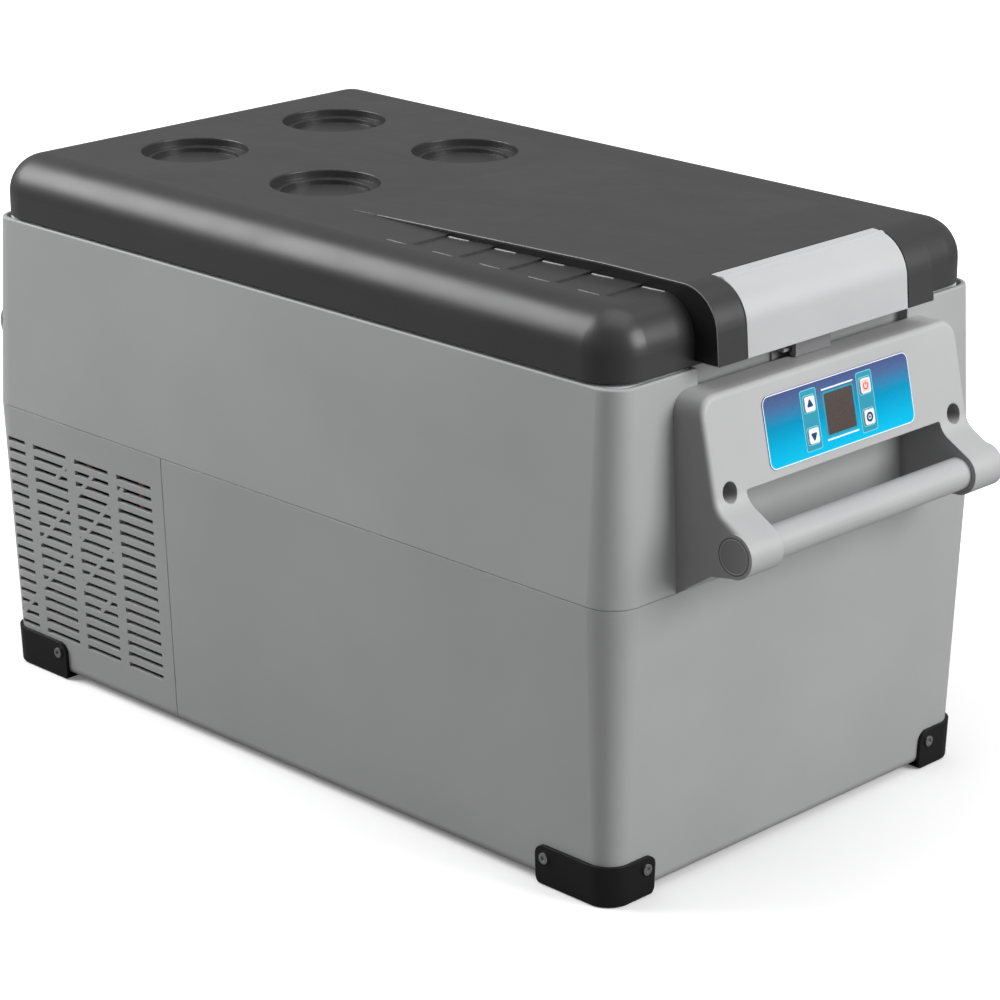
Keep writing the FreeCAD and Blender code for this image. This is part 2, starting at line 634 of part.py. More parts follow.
# ---------------------------------------------------------------- handle brackets
def bracket(prefix, sx):
    """Handle bracket on the +X (sx=1) or -X (sx=-1) end, without its control openings."""
    body = new_body(prefix + "_bracket_blank")
    low, top = "Size.seam_height", "Size.bracket_top"

    def point(x, z):
        return (f"{sx} * ({x})", z)

    tangent = math.radians(61)
    outline = [
        point(end_wall(low, True), low),
        point(end_wall(top, True), top),
        point("Size.bracket_reach", top),
        point("Size.bracket_reach + Size.panel_lean", "Size.panel_bottom"),
        point(f"Size.bar_x + Size.loop_radius * {math.cos(tangent):.4f}",
              f"Size.bar_z + Size.loop_radius * {math.sin(tangent):.4f}"),
        point("Size.bar_x", "Size.bar_z"),
        point("Size.bar_x - 1", "Size.bar_z - Size.loop_radius + 0.05"),
        point("Size.bar_x - 15.5", "Size.bar_z - Size.loop_radius - 2.4"),
    ]
    feature(body, "Pad", polygon(body, outline), "Size.bracket_width", midplane=True)
    reach, height = number(f"{sx} * Size.bracket_reach"), number(top)
    knee_x, knee_z = number(f"{sx} * (Size.bracket_reach + Size.panel_lean)"), number("Size.panel_bottom")
    half = number("Size.bracket_width / 2")
    dress(body, "Fillet", "Size.bracket_knee", lambda edge: near(edge, x=knee_x, y=0, z=knee_z))
    dress(body, "Fillet", "Size.bracket_corner",
          lambda edge: level(edge, height) and abs(abs(edge.BoundBox.Center.y) - half) < 0.1)
    dress(body, "Fillet", "Size.bracket_edge", lambda edge: near(edge, x=reach, y=0, z=height))
    window = rounded_rectangle(body, "-Size.window_width / 2", "Size.window_width / 2",
                               "Size.seam_height - 10", "Size.window_top", "Size.window_corner", "0",
                               "YZ_Plane")
    feature(body, "Pocket", window, "Size.body_length", backwards=sx > 0)
    for sy in (-1, 1):
        start = "-Size.bracket_width / 2" if sy > 0 else "Size.window_width / 2"
        loop = circles(body, [point("Size.bar_x", "Size.bar_z")], "Size.loop_radius", start, "XZ_Plane")
        feature(body, "Pad", loop, "(Size.bracket_width - Size.window_width) / 2")
    bore = circles(body, [point("Size.bar_x", "Size.bar_z")], "Size.bar_radius", "0", "XZ_Plane")
    feature(body, "Pocket", bore, "Size.bracket_width", midplane=True)
    for sy in (-1, 1):
        start = "Size.bracket_width / 2 - Size.cap_thickness" if sy < 0 else "-Size.bracket_width / 2"
        seat = circles(body, [point("Size.bar_x", "Size.bar_z")], "Size.cap_radius", start, "XZ_Plane")
        feature(body, "Pocket", seat, "Size.cap_thickness", backwards=True)
    return body


def handle(prefix, sx):
    """Bar, end caps and screws of one handle, and the bracket with its screw wells."""
    blank = bracket(prefix, sx)
    reach = "Size.bracket_width / 2 - Size.cap_thickness"
    bar = rod(prefix + "_bar", (f"{sx} * Size.bar_x", f"-({reach})", "Size.bar_z"),
              "Size.bar_radius", f"2 * ({reach})", ALONG_Y)
    node(bar, prefix + "_handle_bar")
    caps = [rod(f"{prefix}_cap_{i}", (f"{sx} * Size.bar_x", start, "Size.bar_z"),
                "Size.cap_radius", "Size.cap_thickness", ALONG_Y)
            for i, start in enumerate((reach, "-Size.bracket_width / 2"))]
    node(group(prefix + "_caps", *caps), prefix + "_handle_caps")
    face = end_wall("Size.handle_screw_z", True)
    seat = f"({face} + Size.handle_screw_seat)"
    wells, pieces, shanks = [], [], []
    for i, y in enumerate(("Size.handle_screw_y", "-Size.handle_screw_y")):
        def at(x, length):
            start = x if sx > 0 else f"-({x}) - ({length})"
            return (start, y, "Size.handle_screw_z")
        wells.append(rod(f"{prefix}_well_{i}", at(seat, "40"), "Size.handle_screw_well", "40", ALONG_X))
        shank = rod(f"{prefix}_shank_{i}", at(f"{face} - 12", "Size.handle_screw_seat + 13"), "2",
                    "Size.handle_screw_seat + 13", ALONG_X)
        head = rod(f"{prefix}_head_{i}", at(seat, "3"), "Size.handle_screw_well - 0.4", "3", ALONG_X)
        drive = primitive("Prism", f"{prefix}_drive_{i}", at(f"{seat} + 1.2", "1.9"), ALONG_X,
                          Circumradius="1.8", Height="1.9")
        pieces.append(cut(f"{prefix}_screw_{i}", fuse(f"{prefix}_screw_blank_{i}", head, shank), drive))
        shanks.append(shank)
    node(group(prefix + "_screws", *pieces), prefix + "_handle_screws")
    return blank, wells + shanks, shanks


front_blank, front_holes, front_shanks = handle("front", 1)
rear_blank, rear_holes, rear_shanks = handle("rear", -1)
node(cut("rear_bracket", rear_blank, group("rear_holes", *rear_holes)), "rear_handle_bracket")
all_shanks = group("handle_shanks", *front_shanks, *rear_shanks)

node(cut("lower_shell_cut", lower_plain, screw_bores), "lower_shell")
cover_holes = group("cover_holes", slots, socket_hole, screw_bores)
node(cut("cover_cut", cover_plain, cover_holes), "compressor_cover")
node(cut("upper_shell_cut", upper, all_shanks), "upper_shell")

# ---------------------------------------------------------------- control panel
# Its pieces are drawn flat, X across and Y up the panel, and turned onto the leaning face.
slope = number(PANEL_SLOPE)
lean = Rotation(Vector(0, 1, 0), Vector(-slope, 0, 1), Vector(1, 0, slope), "ZXY")
PANEL_PLACE = Placement(Vector(number(PANEL_X), 0, number("Size.overlay_centre")), lean)
KEYS = (
    ("up_button", "-Size.button_across", "Size.button_up"),
    ("down_button", "-Size.button_across", "-Size.button_up"),
    ("power_button", "Size.button_across_right", "Size.button_up"),
    ("set_button", "Size.button_across_right", "-Size.button_up"),
)


def panel_plate(name, across, up, width, height, corner, back, front):
    """Rounded plate on the panel between two depths along its normal."""
    body = new_body(name)
    outline = rounded_rectangle(
        body, f"{across} - ({width}) / 2", f"{across} + ({width}) / 2",
        f"{up} - ({height}) / 2", f"{up} + ({height}) / 2", corner, back)
    feature(body, "Pad", outline, f"({front}) - ({back})")
    body.Placement = PANEL_PLACE
    return body


KEY_HOLE = "(Size.button_side + 2 * Size.button_gap)"
panel_holes = [panel_plate("hole_" + name, x, y, KEY_HOLE, KEY_HOLE, "1.8", "-8", "2")
               for name, x, y in KEYS]
panel_holes.append(panel_plate("hole_display", "0", "0", "Size.display_width + 0.2",
                               "Size.display_height + 0.2", "1", "-8", "2"))
key_openings = group("key_openings", *panel_holes)
pocket = panel_plate("panel_pocket", "0", "0", "Size.overlay_length + 8", "Size.overlay_height - 4",
                     "3", "-60", "-Size.panel_wall")
front_tools = group("front_tools", key_openings, pocket, *front_holes)
node(cut("front_bracket", front_blank, front_tools), "front_handle_bracket")
overlay = panel_plate("overlay_blank", "0", "0", "Size.overlay_length", "Size.overlay_height", "5",
                      "0", "Size.overlay_thickness")
node(cut("overlay", overlay, key_openings), "control_overlay")
for name, x, y in KEYS:
    node(panel_plate(name + "_body", x, y, "Size.button_side", "Size.button_side", "1.5",
                     "-2.6", "Size.overlay_thickness + Size.button_proud"), name)
node(panel_plate("display_body", "0", "0", "Size.display_width", "Size.display_height", "0.9",
                 "-4", "Size.overlay_thickness - 0.1"), "display_module")
board = panel_plate("board_plate", "0", "0", "Size.overlay_length - 4", "Size.overlay_height - 8", "1.5",
                    "-5.6", "-4")
switches = [panel_plate("switch_" + name, x, y, "6", "6", "0.5", "-4.2", "-3.2") for name, x, y in KEYS]
node(fuse("board", board, *switches), "control_board")

# ---------------------------------------------------------------- tub, foam and cold jacket
TUB_X, TUB_Y = "(Size.tub_length / 2)", "(Size.tub_width / 2)"


def tub_outline(body, grow, deep, height):
    """Outline of the tub, grown outwards; the deep part or the whole mouth."""
    left = f"Size.tub_step - ({grow})" if deep else f"-({TUB_X} + ({grow}))"
    side = f"({TUB_Y} + ({grow}))"
    return rounded_rectangle(body, left, f"{TUB_X} + ({grow})", f"-{side}", side,
                             f"Size.tub_corner + ({grow})", height)


tub = new_body("tub")
feature(tub, "Pad", tub_outline(tub, "Size.tub_wall", True, "Size.tub_floor - Size.tub_wall"),
        "Size.rim_height - Size.tub_floor + Size.tub_wall")
feature(tub, "Pad", tub_outline(tub, "Size.tub_wall", False, "Size.tub_shelf - Size.tub_wall"),
        "Size.rim_height - Size.tub_shelf + Size.tub_wall")
FLANGE_X = f"({RIM_X} - Size.shell_wall - Size.fit_gap)"
FLANGE_Y = f"({RIM_Y} - Size.shell_wall - Size.fit_gap)"
FLANGE_Z = "(Size.rim_height - Size.flange_thickness)"
flange = rounded_rectangle(tub, f"-{FLANGE_X}", FLANGE_X, f"-{FLANGE_Y}", FLANGE_Y,
                           "Size.body_corner - Size.shell_wall", FLANGE_Z)
feature(tub, "Pad", flange, "Size.flange_thickness")
floor_z, shelf_z = number("Size.tub_floor"), number("Size.tub_shelf")
feature(tub, "Pocket", tub_outline(tub, "0", True, "Size.tub_floor"), "Size.rim_height", backwards=True)
feature(tub, "Pocket", tub_outline(tub, "0", False, "Size.tub_shelf"), "Size.rim_height", backwards=True)
dress(tub, "Fillet", "9", lambda edge: level(edge, floor_z))
SCOOP_BACK = f"({SCOOP_X} - Size.shell_wall - Size.fit_gap)"
SCOOP_SIDE = "(Size.scoop_width / 2 + Size.shell_wall + Size.fit_gap)"
notch = rounded_rectangle(tub, SCOOP_BACK, HALF_X, f"-{SCOOP_SIDE}", SCOOP_SIDE, "1", FLANGE_Z)
feature(tub, "Pocket", notch, "2 * Size.flange_thickness", backwards=True)
node(tub, "inner_liner")

FOAM_X = f"({BASE_X} - Size.shell_wall - Size.fit_gap)"
FOAM_Y = f"({BASE_Y} - Size.shell_wall - Size.fit_gap)"
foam = new_body("foam")
low_foam = rounded_rectangle(foam, f"{COVER_X} + Size.shell_wall + Size.fit_gap", FOAM_X,
                             f"-{FOAM_Y}", FOAM_Y, "Size.body_corner", INSIDE_Z)
feature(foam, "Pad", low_foam, f"{FLANGE_Z} - {INSIDE_Z}")
high_foam = rounded_rectangle(foam, f"-{FOAM_X}", "0", f"-{FOAM_Y}", FOAM_Y, "Size.body_corner",
                              "Size.seam_height + Size.divider_thickness")
feature(foam, "Pad", high_foam, f"{FLANGE_Z} - Size.seam_height - Size.divider_thickness")
feature(foam, "Pocket", tub_outline(foam, "Size.tub_wall", True, "Size.tub_floor - Size.tub_wall"),
        "Size.rim_height", backwards=True)
feature(foam, "Pocket", tub_outline(foam, "Size.tub_wall", False, "Size.tub_shelf - Size.tub_wall"),
        "Size.rim_height", backwards=True)
jacket_room = tub_outline(foam, "Size.tub_wall + Size.evaporator_thickness", True, "Size.evaporator_low")
feature(foam, "Pocket", jacket_room, "Size.evaporator_high - Size.evaporator_low", backwards=True)
notch = rounded_rectangle(foam, SCOOP_BACK, HALF_X, f"-{SCOOP_SIDE}", SCOOP_SIDE, "1",
                          f"{SCOOP_Z} - Size.shell_wall - Size.fit_gap")
feature(foam, "Pocket", notch, "Size.rim_height", backwards=True)
node(cut("foam_cut", foam, group("foam_bores", all_shanks, screw_bores)), "insulation_foam")

jacket = new_body("jacket")
grow = "Size.tub_wall + Size.evaporator_thickness"
feature(jacket, "Pad", tub_outline(jacket, grow, True, "Size.evaporator_low"),
        "Size.evaporator_high - Size.evaporator_low")
feature(jacket, "Pocket", tub_outline(jacket, "Size.tub_wall", True, "Size.evaporator_low"),
        "Size.rim_height", backwards=True)
node(jacket, "evaporator")

divider = new_body("divider")
plate = rounded_rectangle(divider, f"-({HALF_X} - Size.shell_wall - 1)", f"{COVER_X} + Size.shell_wall",
                          f"-({HALF_Y} - Size.shell_wall - 1)", f"{HALF_Y} - Size.shell_wall - 1",
                          "Size.body_corner", "Size.seam_height")
feature(divider, "Pad", plate, "Size.divider_thickness")
node(divider, "compressor_bay_divider")

# ---------------------------------------------------------------- lid
LID_X, LID_Y = "(Size.lid_length / 2)", "(Size.lid_width / 2)"
lid = new_body("lid")
outline = rounded_rectangle(lid, f"-{LID_X}", LID_X, f"-{LID_Y}", LID_Y, "Size.lid_corner", LID_Z)
feature(lid, "Pad", outline, "Size.lid_height")
top = number(LID_TOP)
dress(lid, "Fillet", "Size.lid_shoulder", lambda edge: level(edge, top))
BRIDGE_HALF = "(Size.bridge_width / 2)"
bridge_outline = [
    ("Size.bridge_start", f"{LID_TOP} - 4"),
    ("Size.bridge_start", LID_TOP),
    ("Size.bridge_crest", BRIDGE_TOP),
    ("Size.bridge_front - Size.bridge_draft", BRIDGE_TOP),
    ("Size.bridge_front", BRIDGE_Z),
    (f"{LID_X} - Size.lid_shoulder", BRIDGE_Z),
    (f"{LID_X} - Size.lid_shoulder", f"{LID_TOP} - 4"),
]
feature(lid, "Pad", polygon(lid, bridge_outline), "Size.bridge_width", midplane=True)
brow = {"x": number("Size.bridge_front - Size.bridge_draft"), "y": 0, "z": number(BRIDGE_TOP)}
dress(lid, "Fillet", "Size.bridge_round", lambda edge: near(edge, **brow))
INNER_X = f"({LID_X} - Size.hinge_notch - Size.lid_wall)"
INNER_Y = f"({LID_Y} - Size.lid_wall)"
cavity = rounded_rectangle(lid, f"-{INNER_X}", INNER_X, f"-{INNER_Y}", INNER_Y,
                           "Size.lid_corner - Size.lid_wall", LID_Z)
feature(lid, "Pocket", cavity, "Size.lid_side_height", backwards=True)
cavity = rounded_rectangle(lid, f"-({LID_X} - Size.lid_shoulder_inset)", f"{LID_X} - Size.lid_shoulder_inset",
                           f"-({LID_Y} - Size.lid_shoulder_inset)", f"{LID_Y} - Size.lid_shoulder_inset",
                           "Size.lid_corner - Size.lid_wall", LID_Z)
feature(lid, "Pocket", cavity, "Size.lid_height - Size.lid_wall", backwards=True)
CUPS = [(x, f"{side} * Size.cup_side") for x in ("Size.cup_front", "Size.cup_rear") for side in (-1, 1)]
BOSS_DEPTH = "(Size.cup_depth + Size.cup_well + Size.cup_floor)"
boss = circles(lid, CUPS, "Size.cup_diameter / 2 + Size.cup_floor", f"{LID_TOP} - {BOSS_DEPTH}")
feature(lid, "Pad", boss, f"{BOSS_DEPTH} - 1")
cup = circles(lid, CUPS, "Size.cup_diameter / 2", f"{LID_TOP} - Size.cup_depth")
feature(lid, "Pocket", cup, "Size.cup_depth + 1", backwards=True)
well = circles(lid, CUPS, "Size.cup_diameter / 2 - Size.cup_ledge",
               f"{LID_TOP} - Size.cup_depth - Size.cup_well")
feature(lid, "Pocket", well, "Size.cup_depth", backwards=True)
cup_radius = number("Size.cup_diameter / 2")
dress(lid, "Fillet", "1",
      lambda edge: level(edge, top) and abs(edge.BoundBox.XLength - 2 * cup_radius) < 0.1)
notch = rounded_rectangle(lid, "-Size.body_length", f"-({LID_X} - Size.hinge_notch)",
                          f"-{BRIDGE_HALF}", BRIDGE_HALF, "2", LID_Z)
feature(lid, "Pocket", notch, "2 * Size.lid_height", backwards=True)
bay = [
    ("Size.latch_start - Size.latch_gap", f"{BRIDGE_TOP} + 5"),
    ("Size.latch_start - Size.latch_gap", f"{BRIDGE_TOP} - 3 * Size.latch_thickness"),
    (f"{LID_X} - Size.latch_thickness", f"{BRIDGE_TOP} - 4 * Size.latch_thickness - 1"),
    (f"{LID_X} - Size.latch_thickness", f"{LID_Z} - 5"),
    ("Size.bridge_front + 5", f"{LID_Z} - 5"),
    ("Size.bridge_front + 5", f"{BRIDGE_TOP} + 5"),
]
feature(lid, "Pocket", polygon(lid, bay), "Size.latch_width + 2 * Size.latch_gap", midplane=True)
pin_half = "(Size.latch_width / 2 + Size.latch_gap + 3)"
pin_bore = circles(lid, [("Size.latch_axis_x", LATCH_Z)], "Size.latch_pin", "0", "XZ_Plane")
feature(lid, "Pocket", pin_bore, f"2 * {pin_half}", midplane=True)


def step_cuts():
    """Wedges that leave the stepped strip on the -Y side of the raised band."""
    start, pitch = number("Size.step_start"), number("Size.step_pitch")
    depth, width = number("Size.step_depth"), number("Size.step_width")
    top_z, inner = number(LID_TOP), number(BRIDGE_HALF)
    wedges = []
    for index in range(int(number("Size.step_count"))):
        x = start + index * pitch
        corners = [Vector(x, 0, top_z - depth), Vector(x + pitch, 0, top_z), Vector(x + pitch, 0, top_z + 1),
                   Vector(x, 0, top_z + 1)]
        face = Part.Face(Part.makePolygon(corners + corners[:1]))
        wedges.append(face.extrude(Vector(0, width, 0)).translated(Vector(0, -inner - width, 0)))
    return Part.makeCompound(wedges)


lid_steps = shape_object("step_cuts", step_cuts())
node(cut("lid_cut", lid, lid_steps), "lid_shell")

liner = new_body("lid_liner_body")
gap = "Size.fit_gap"
outline = rounded_rectangle(liner, f"-({INNER_X} - {gap})", f"{INNER_X} - {gap}", f"-({INNER_Y} - {gap})",
                            f"{INNER_Y} - {gap}", "Size.lid_corner - Size.lid_wall - Size.fit_gap", LID_Z)
feature(liner, "Pad", outline, "2")
plug = rounded_rectangle(liner, f"-({TUB_X} - Size.plug_gap)", f"{TUB_X} - Size.plug_gap",
                         f"-({TUB_Y} - Size.plug_gap)", f"{TUB_Y} - Size.plug_gap",
                         "Size.tub_corner - Size.plug_gap", f"{LID_Z} - Size.plug_depth")
feature(liner, "Pad", plug, "Size.plug_depth")
inside = "(Size.plug_gap + Size.tub_wall)"
plug = rounded_rectangle(liner, f"-({TUB_X} - {inside})", f"{TUB_X} - {inside}", f"-({TUB_Y} - {inside})",
                         f"{TUB_Y} - {inside}", "Size.tub_corner - Size.plug_gap - Size.tub_wall",
                         f"{LID_Z} - Size.plug_depth + Size.tub_wall")
feature(liner, "Pocket", plug, "2 * Size.plug_depth", backwards=True)
node(liner, "lid_liner")

lid_foam = new_body("lid_foam_body")
edge = "(Size.lid_shoulder_inset + Size.fit_gap)"
outline = rounded_rectangle(lid_foam, f"-({LID_X} - {edge})", f"{LID_X} - {edge}", f"-({LID_Y} - {edge})",
                            f"{LID_Y} - {edge}", "Size.lid_corner", f"{LID_Z} + 2")
feature(lid_foam, "Pad", outline, f"Size.lid_height - {BOSS_DEPTH} - 2")
plug = rounded_rectangle(lid_foam, f"-({TUB_X} - {inside})", f"{TUB_X} - {inside}", f"-({TUB_Y} - {inside})",
                         f"{TUB_Y} - {inside}", "Size.tub_corner - Size.plug_gap - Size.tub_wall",
                         f"{LID_Z} - Size.plug_depth + Size.tub_wall")
feature(lid_foam, "Pad", plug, "Size.plug_depth - Size.tub_wall + 2")
node(lid_foam, "lid_foam")

gasket = new_body("gasket")
for kind, inset in (("Pad", "Size.gasket_inset"), ("Pocket", "(Size.gasket_inset + Size.gasket_width)")):
    outline = rounded_rectangle(gasket, f"-({LID_X} - {inset})", f"{LID_X} - {inset}",
                                f"-({LID_Y} - {inset})", f"{LID_Y} - {inset}",
                                f"Size.lid_corner - {inset} / 2", f"Size.rim_height + {gap}")
    feature(gasket, kind, outline, f"Size.lid_gap - {gap}", backwards=kind == "Pocket")
node(gasket, "lid_gasket")

# ---------------------------------------------------------------- lid hinge
shell_block = new_body("shell_block")
upper_block(shell_block, "Pad", "0")
KNUCKLES = 5
segment = f"(Size.hinge_length / {KNUCKLES})"
fixed, swinging = [], []
for index in range(KNUCKLES):
    start = f"({index} * {segment} - Size.hinge_length / 2 + {gap} / 2)"
    span = f"({segment} - {gap})"
    stop = f"{start} + {span}"
    barrel = rod(f"knuckle_{index}", ("Size.hinge_x", start, HINGE_Z), "Size.hinge_radius", span, ALONG_Y)
    if index % 2:
        arm = box(f"leaf_arm_{index}", "Size.hinge_x", f"-({LID_X} - Size.hinge_notch)", start, stop,
                  f"{HINGE_Z} + {gap}", f"{HINGE_Z} + 2")
        swinging += [barrel, arm]
    else:
        arm = box(f"bracket_arm_{index}", "Size.hinge_x - Size.hinge_radius", "Size.hinge_x - 1", start, stop,
                  f"{HINGE_Z} - 10", HINGE_Z)
        fixed += [barrel, arm]
fixed.append(box("hinge_plate", "Size.hinge_x - Size.hinge_radius", "Size.hinge_x + 5", "-Size.hinge_length / 2",
                 "Size.hinge_length / 2", f"{HINGE_Z} - 15", f"{HINGE_Z} - Size.hinge_rise - 1"))
swinging.append(box("leaf_plate", f"-({LID_X} - Size.hinge_notch) - 1.6", f"-({LID_X} - Size.hinge_notch)",
                    "-Size.hinge_length / 2", "Size.hinge_length / 2", f"{HINGE_Z} + {gap}",
                    f"{HINGE_Z} + 16"))
pin = rod("hinge_pin", ("Size.hinge_x", "-Size.hinge_length / 2 - 1", HINGE_Z), "Size.hinge_pin",
          "Size.hinge_length + 2", ALONG_Y)
pin_room = rod("hinge_pin_room", ("Size.hinge_x", "-Size.hinge_length / 2 - 1", HINGE_Z),
               f"Size.hinge_pin + {gap}", "Size.hinge_length + 2", ALONG_Y)
node(pin, "hinge_pin")
node(cut("hinge_bracket", fuse("hinge_fixed", *fixed), group("hinge_room", pin, shell_block)), "hinge_bracket")
node(cut("hinge_leaf", fuse("hinge_swinging", *swinging), pin_room), "hinge_leaf")

# ---------------------------------------------------------------- latch
flap = new_body("flap")
thin = "Size.latch_thickness"
flap_outline = [
    ("Size.latch_start", BRIDGE_TOP),
    ("Size.bridge_front - Size.bridge_draft", BRIDGE_TOP),
    ("Size.bridge_front", BRIDGE_Z),
    (f"Size.bridge_front - {thin}", BRIDGE_Z),
    (f"Size.bridge_front - Size.bridge_draft - {thin}", f"{BRIDGE_TOP} - {thin}"),
    ("Size.latch_start", f"{BRIDGE_TOP} - {thin}"),
]
feature(flap, "Pad", polygon(flap, flap_outline), "Size.latch_width", midplane=True)
dress(flap, "Fillet", "Size.bridge_round", lambda item: near(item, **brow))
bend = {"x": brow["x"] - number(thin), "y": 0, "z": brow["z"] - number(thin)}
dress(flap, "Fillet", f"Size.bridge_round - {thin}", lambda item: near(item, **bend))
knuckle = circles(flap, [("Size.latch_axis_x", LATCH_Z)], "Size.latch_knuckle", "0", "XZ_Plane")
feature(flap, "Pad", knuckle, "Size.latch_width", midplane=True)
bore = circles(flap, [("Size.latch_axis_x", LATCH_Z)], f"Size.latch_pin + {gap}", "0", "XZ_Plane")
feature(flap, "Pocket", bore, "2 * Size.latch_width", midplane=True)
LIP_X = f"({SCOOP_X} + 8)"
hook_outline = [
    ("Size.bridge_front - 2.5", f"{BRIDGE_Z} + 1.5"),
    ("Size.bridge_front - 2.5", f"{BRIDGE_Z} + 9"),
    (f"{LIP_X} + 1.6", f"{BRIDGE_Z} + 4.5"),
    (f"{LIP_X} + 1.6", "Size.rim_height - 6.2"),
    (f"{LIP_X} + {gap}", "Size.rim_height - 6.2"),
    (f"{LIP_X} + {gap}", "Size.rim_height - 8.6"),
    (f"{LIP_X} + 4.6", "Size.rim_height - 8.6"),
    (f"{LIP_X} + 4.6", f"{BRIDGE_Z} + 1.5"),
]
feature(flap, "Pad", polygon(flap, hook_outline), "Size.hook_width", midplane=True)
node(flap, "latch_flap")
node(rod("latch_pin", ("Size.latch_axis_x", f"-{pin_half}", LATCH_Z), "Size.latch_pin",
         f"2 * {pin_half}", ALONG_Y), "latch_pin")
strike_plate = box("strike_plate", SCOOP_X, f"{SCOOP_X} + 1.5", "-22", "22", f"{SCOOP_Z} + 0.5",
                   "Size.rim_height - 1")
strike_lip = box("strike_lip", SCOOP_X, LIP_X, "-20", "20", "Size.rim_height - 6", "Size.rim_height - 4")
node(fuse("striker", strike_plate, strike_lip), "latch_striker")

# ---------------------------------------------------------------- compressor bay
TRAY_X = f"({COVER_X} - Size.cover_gap - 4 - Size.tray_length / 2)"
tray = new_body("tray")
for kind, inset, base in (("Pad", "0", INSIDE_Z), ("Pocket", "Size.tray_thickness",
                                                   f"{INSIDE_Z} + Size.tray_thickness")):
    outline = rounded_rectangle(
        tray, f"{TRAY_X} - Size.tray_length / 2 + {inset}", f"{TRAY_X} + Size.tray_length / 2 - {inset}",
        f"-Size.tray_width / 2 + {inset}", f"Size.tray_width / 2 - {inset}", "6", base)
    feature(tray, kind, outline, "Size.tray_rim", backwards=kind == "Pocket")
node(tray, "base_tray")
DECK = f"({INSIDE_Z} + Size.tray_thickness)"

MOUNT_X, MOUNT_Y = "40", "44"
PLATE_Z = f"({DECK} + Size.grommet_height)"
CAN_Z = f"({PLATE_Z} + 2 + Size.can_dome)"
can = rod("can", ("Size.can_x", "Size.can_y", CAN_Z), "Size.can_radius", "Size.can_height")
weld = rod("weld", ("Size.can_x", "Size.can_y", f"{CAN_Z} + Size.can_height * 0.55"), "Size.can_radius + 2.5", "3")
domes = [primitive("Ellipsoid", f"dome_{i}", ("Size.can_x", "Size.can_y", z), None, Radius1="Size.can_dome",
                   Radius2="Size.can_radius", Radius3="Size.can_radius")
         for i, z in enumerate((CAN_Z, f"{CAN_Z} + Size.can_height"))]
foot_plate = box("foot_plate", f"Size.can_x - {MOUNT_X} - 9", f"Size.can_x + {MOUNT_X} + 9",
                 f"Size.can_y - {MOUNT_Y} - 9", f"Size.can_y + {MOUNT_Y} + 9", PLATE_Z, f"{PLATE_Z} + 3")
mount_spots = [(f"Size.can_x + {a} * {MOUNT_X}", f"Size.can_y + {b} * {MOUNT_Y}")
               for a in (-1, 1) for b in (-1, 1)]
stubs = rod("stub", ("Size.can_x - 30", "Size.can_y - 24", f"{CAN_Z} + Size.can_height"), "4", "28")
mount_bores = group("mount_bores", *[rod(f"mount_bore_{i}", (x, y, f"{PLATE_Z} - 1"), "3", "6")
                                     for i, (x, y) in enumerate(mount_spots)])
node(cut("compressor_cut", fuse("compressor_blank", can, weld, foot_plate, stubs, *domes), mount_bores),
     "compressor")
grommets = []
for i, (x, y) in enumerate(mount_spots):
    lower = rod(f"grommet_low_{i}", (x, y, DECK), "8", "Size.grommet_height")
    upper_ring = rod(f"grommet_top_{i}", (x, y, f"{PLATE_Z} + 3"), "6", "2.5")
    neck = rod(f"grommet_neck_{i}", (x, y, f"{PLATE_Z} - 0.5"), "3", "4")
    grommets.append(fuse(f"grommet_{i}", lower, upper_ring, neck))
node(group("grommet_group", *grommets), "compressor_grommets")
terminal = box("terminal", "Size.can_x + 20", "Size.can_x + Size.can_radius + 16", "Size.can_y - 18",
               "Size.can_y + 18", f"{CAN_Z} + 2", f"{CAN_Z} + 36")
node(cut("terminal_cut", terminal, group("can_space", can, weld)), "compressor_terminal_cover")

FAN_LOW = "(Size.fan_y - Size.fan_depth / 2)"
frame_block = box("fan_block", "Size.fan_x - Size.fan_size / 2", "Size.fan_x + Size.fan_size / 2", FAN_LOW,
                  "Size.fan_y + Size.fan_depth / 2", "Size.fan_z - Size.fan_size / 2",
                  "Size.fan_z + Size.fan_size / 2")
fan_hole = rod("fan_hole", ("Size.fan_x", f"{FAN_LOW} - 1", "Size.fan_z"), "Size.fan_bore / 2",
               "Size.fan_depth + 2", ALONG_Y)
MOTOR_LONG = "5"
motor = rod("fan_motor", ("Size.fan_x", f"Size.fan_y + Size.fan_depth / 2 - {MOTOR_LONG}", "Size.fan_z"),
            "16", MOTOR_LONG, ALONG_Y)
SPOKE_REACH, SPOKE_HALF = "Size.fan_bore / 2 + 1", "2.5"
SPOKE_Y = ("Size.fan_y + Size.fan_depth / 2 - 4", "Size.fan_y + Size.fan_depth / 2")
spokes = [box(f"spoke_{i}", f"Size.fan_x - ({across})", f"Size.fan_x + {across}", *SPOKE_Y,
              f"Size.fan_z - ({up})", f"Size.fan_z + {up}")
          for i, (across, up) in enumerate(((SPOKE_REACH, SPOKE_HALF), (SPOKE_HALF, SPOKE_REACH)))]
node(fuse("fan_frame", cut("fan_ring", frame_block, fan_hole), motor, *spokes), "fan_frame")


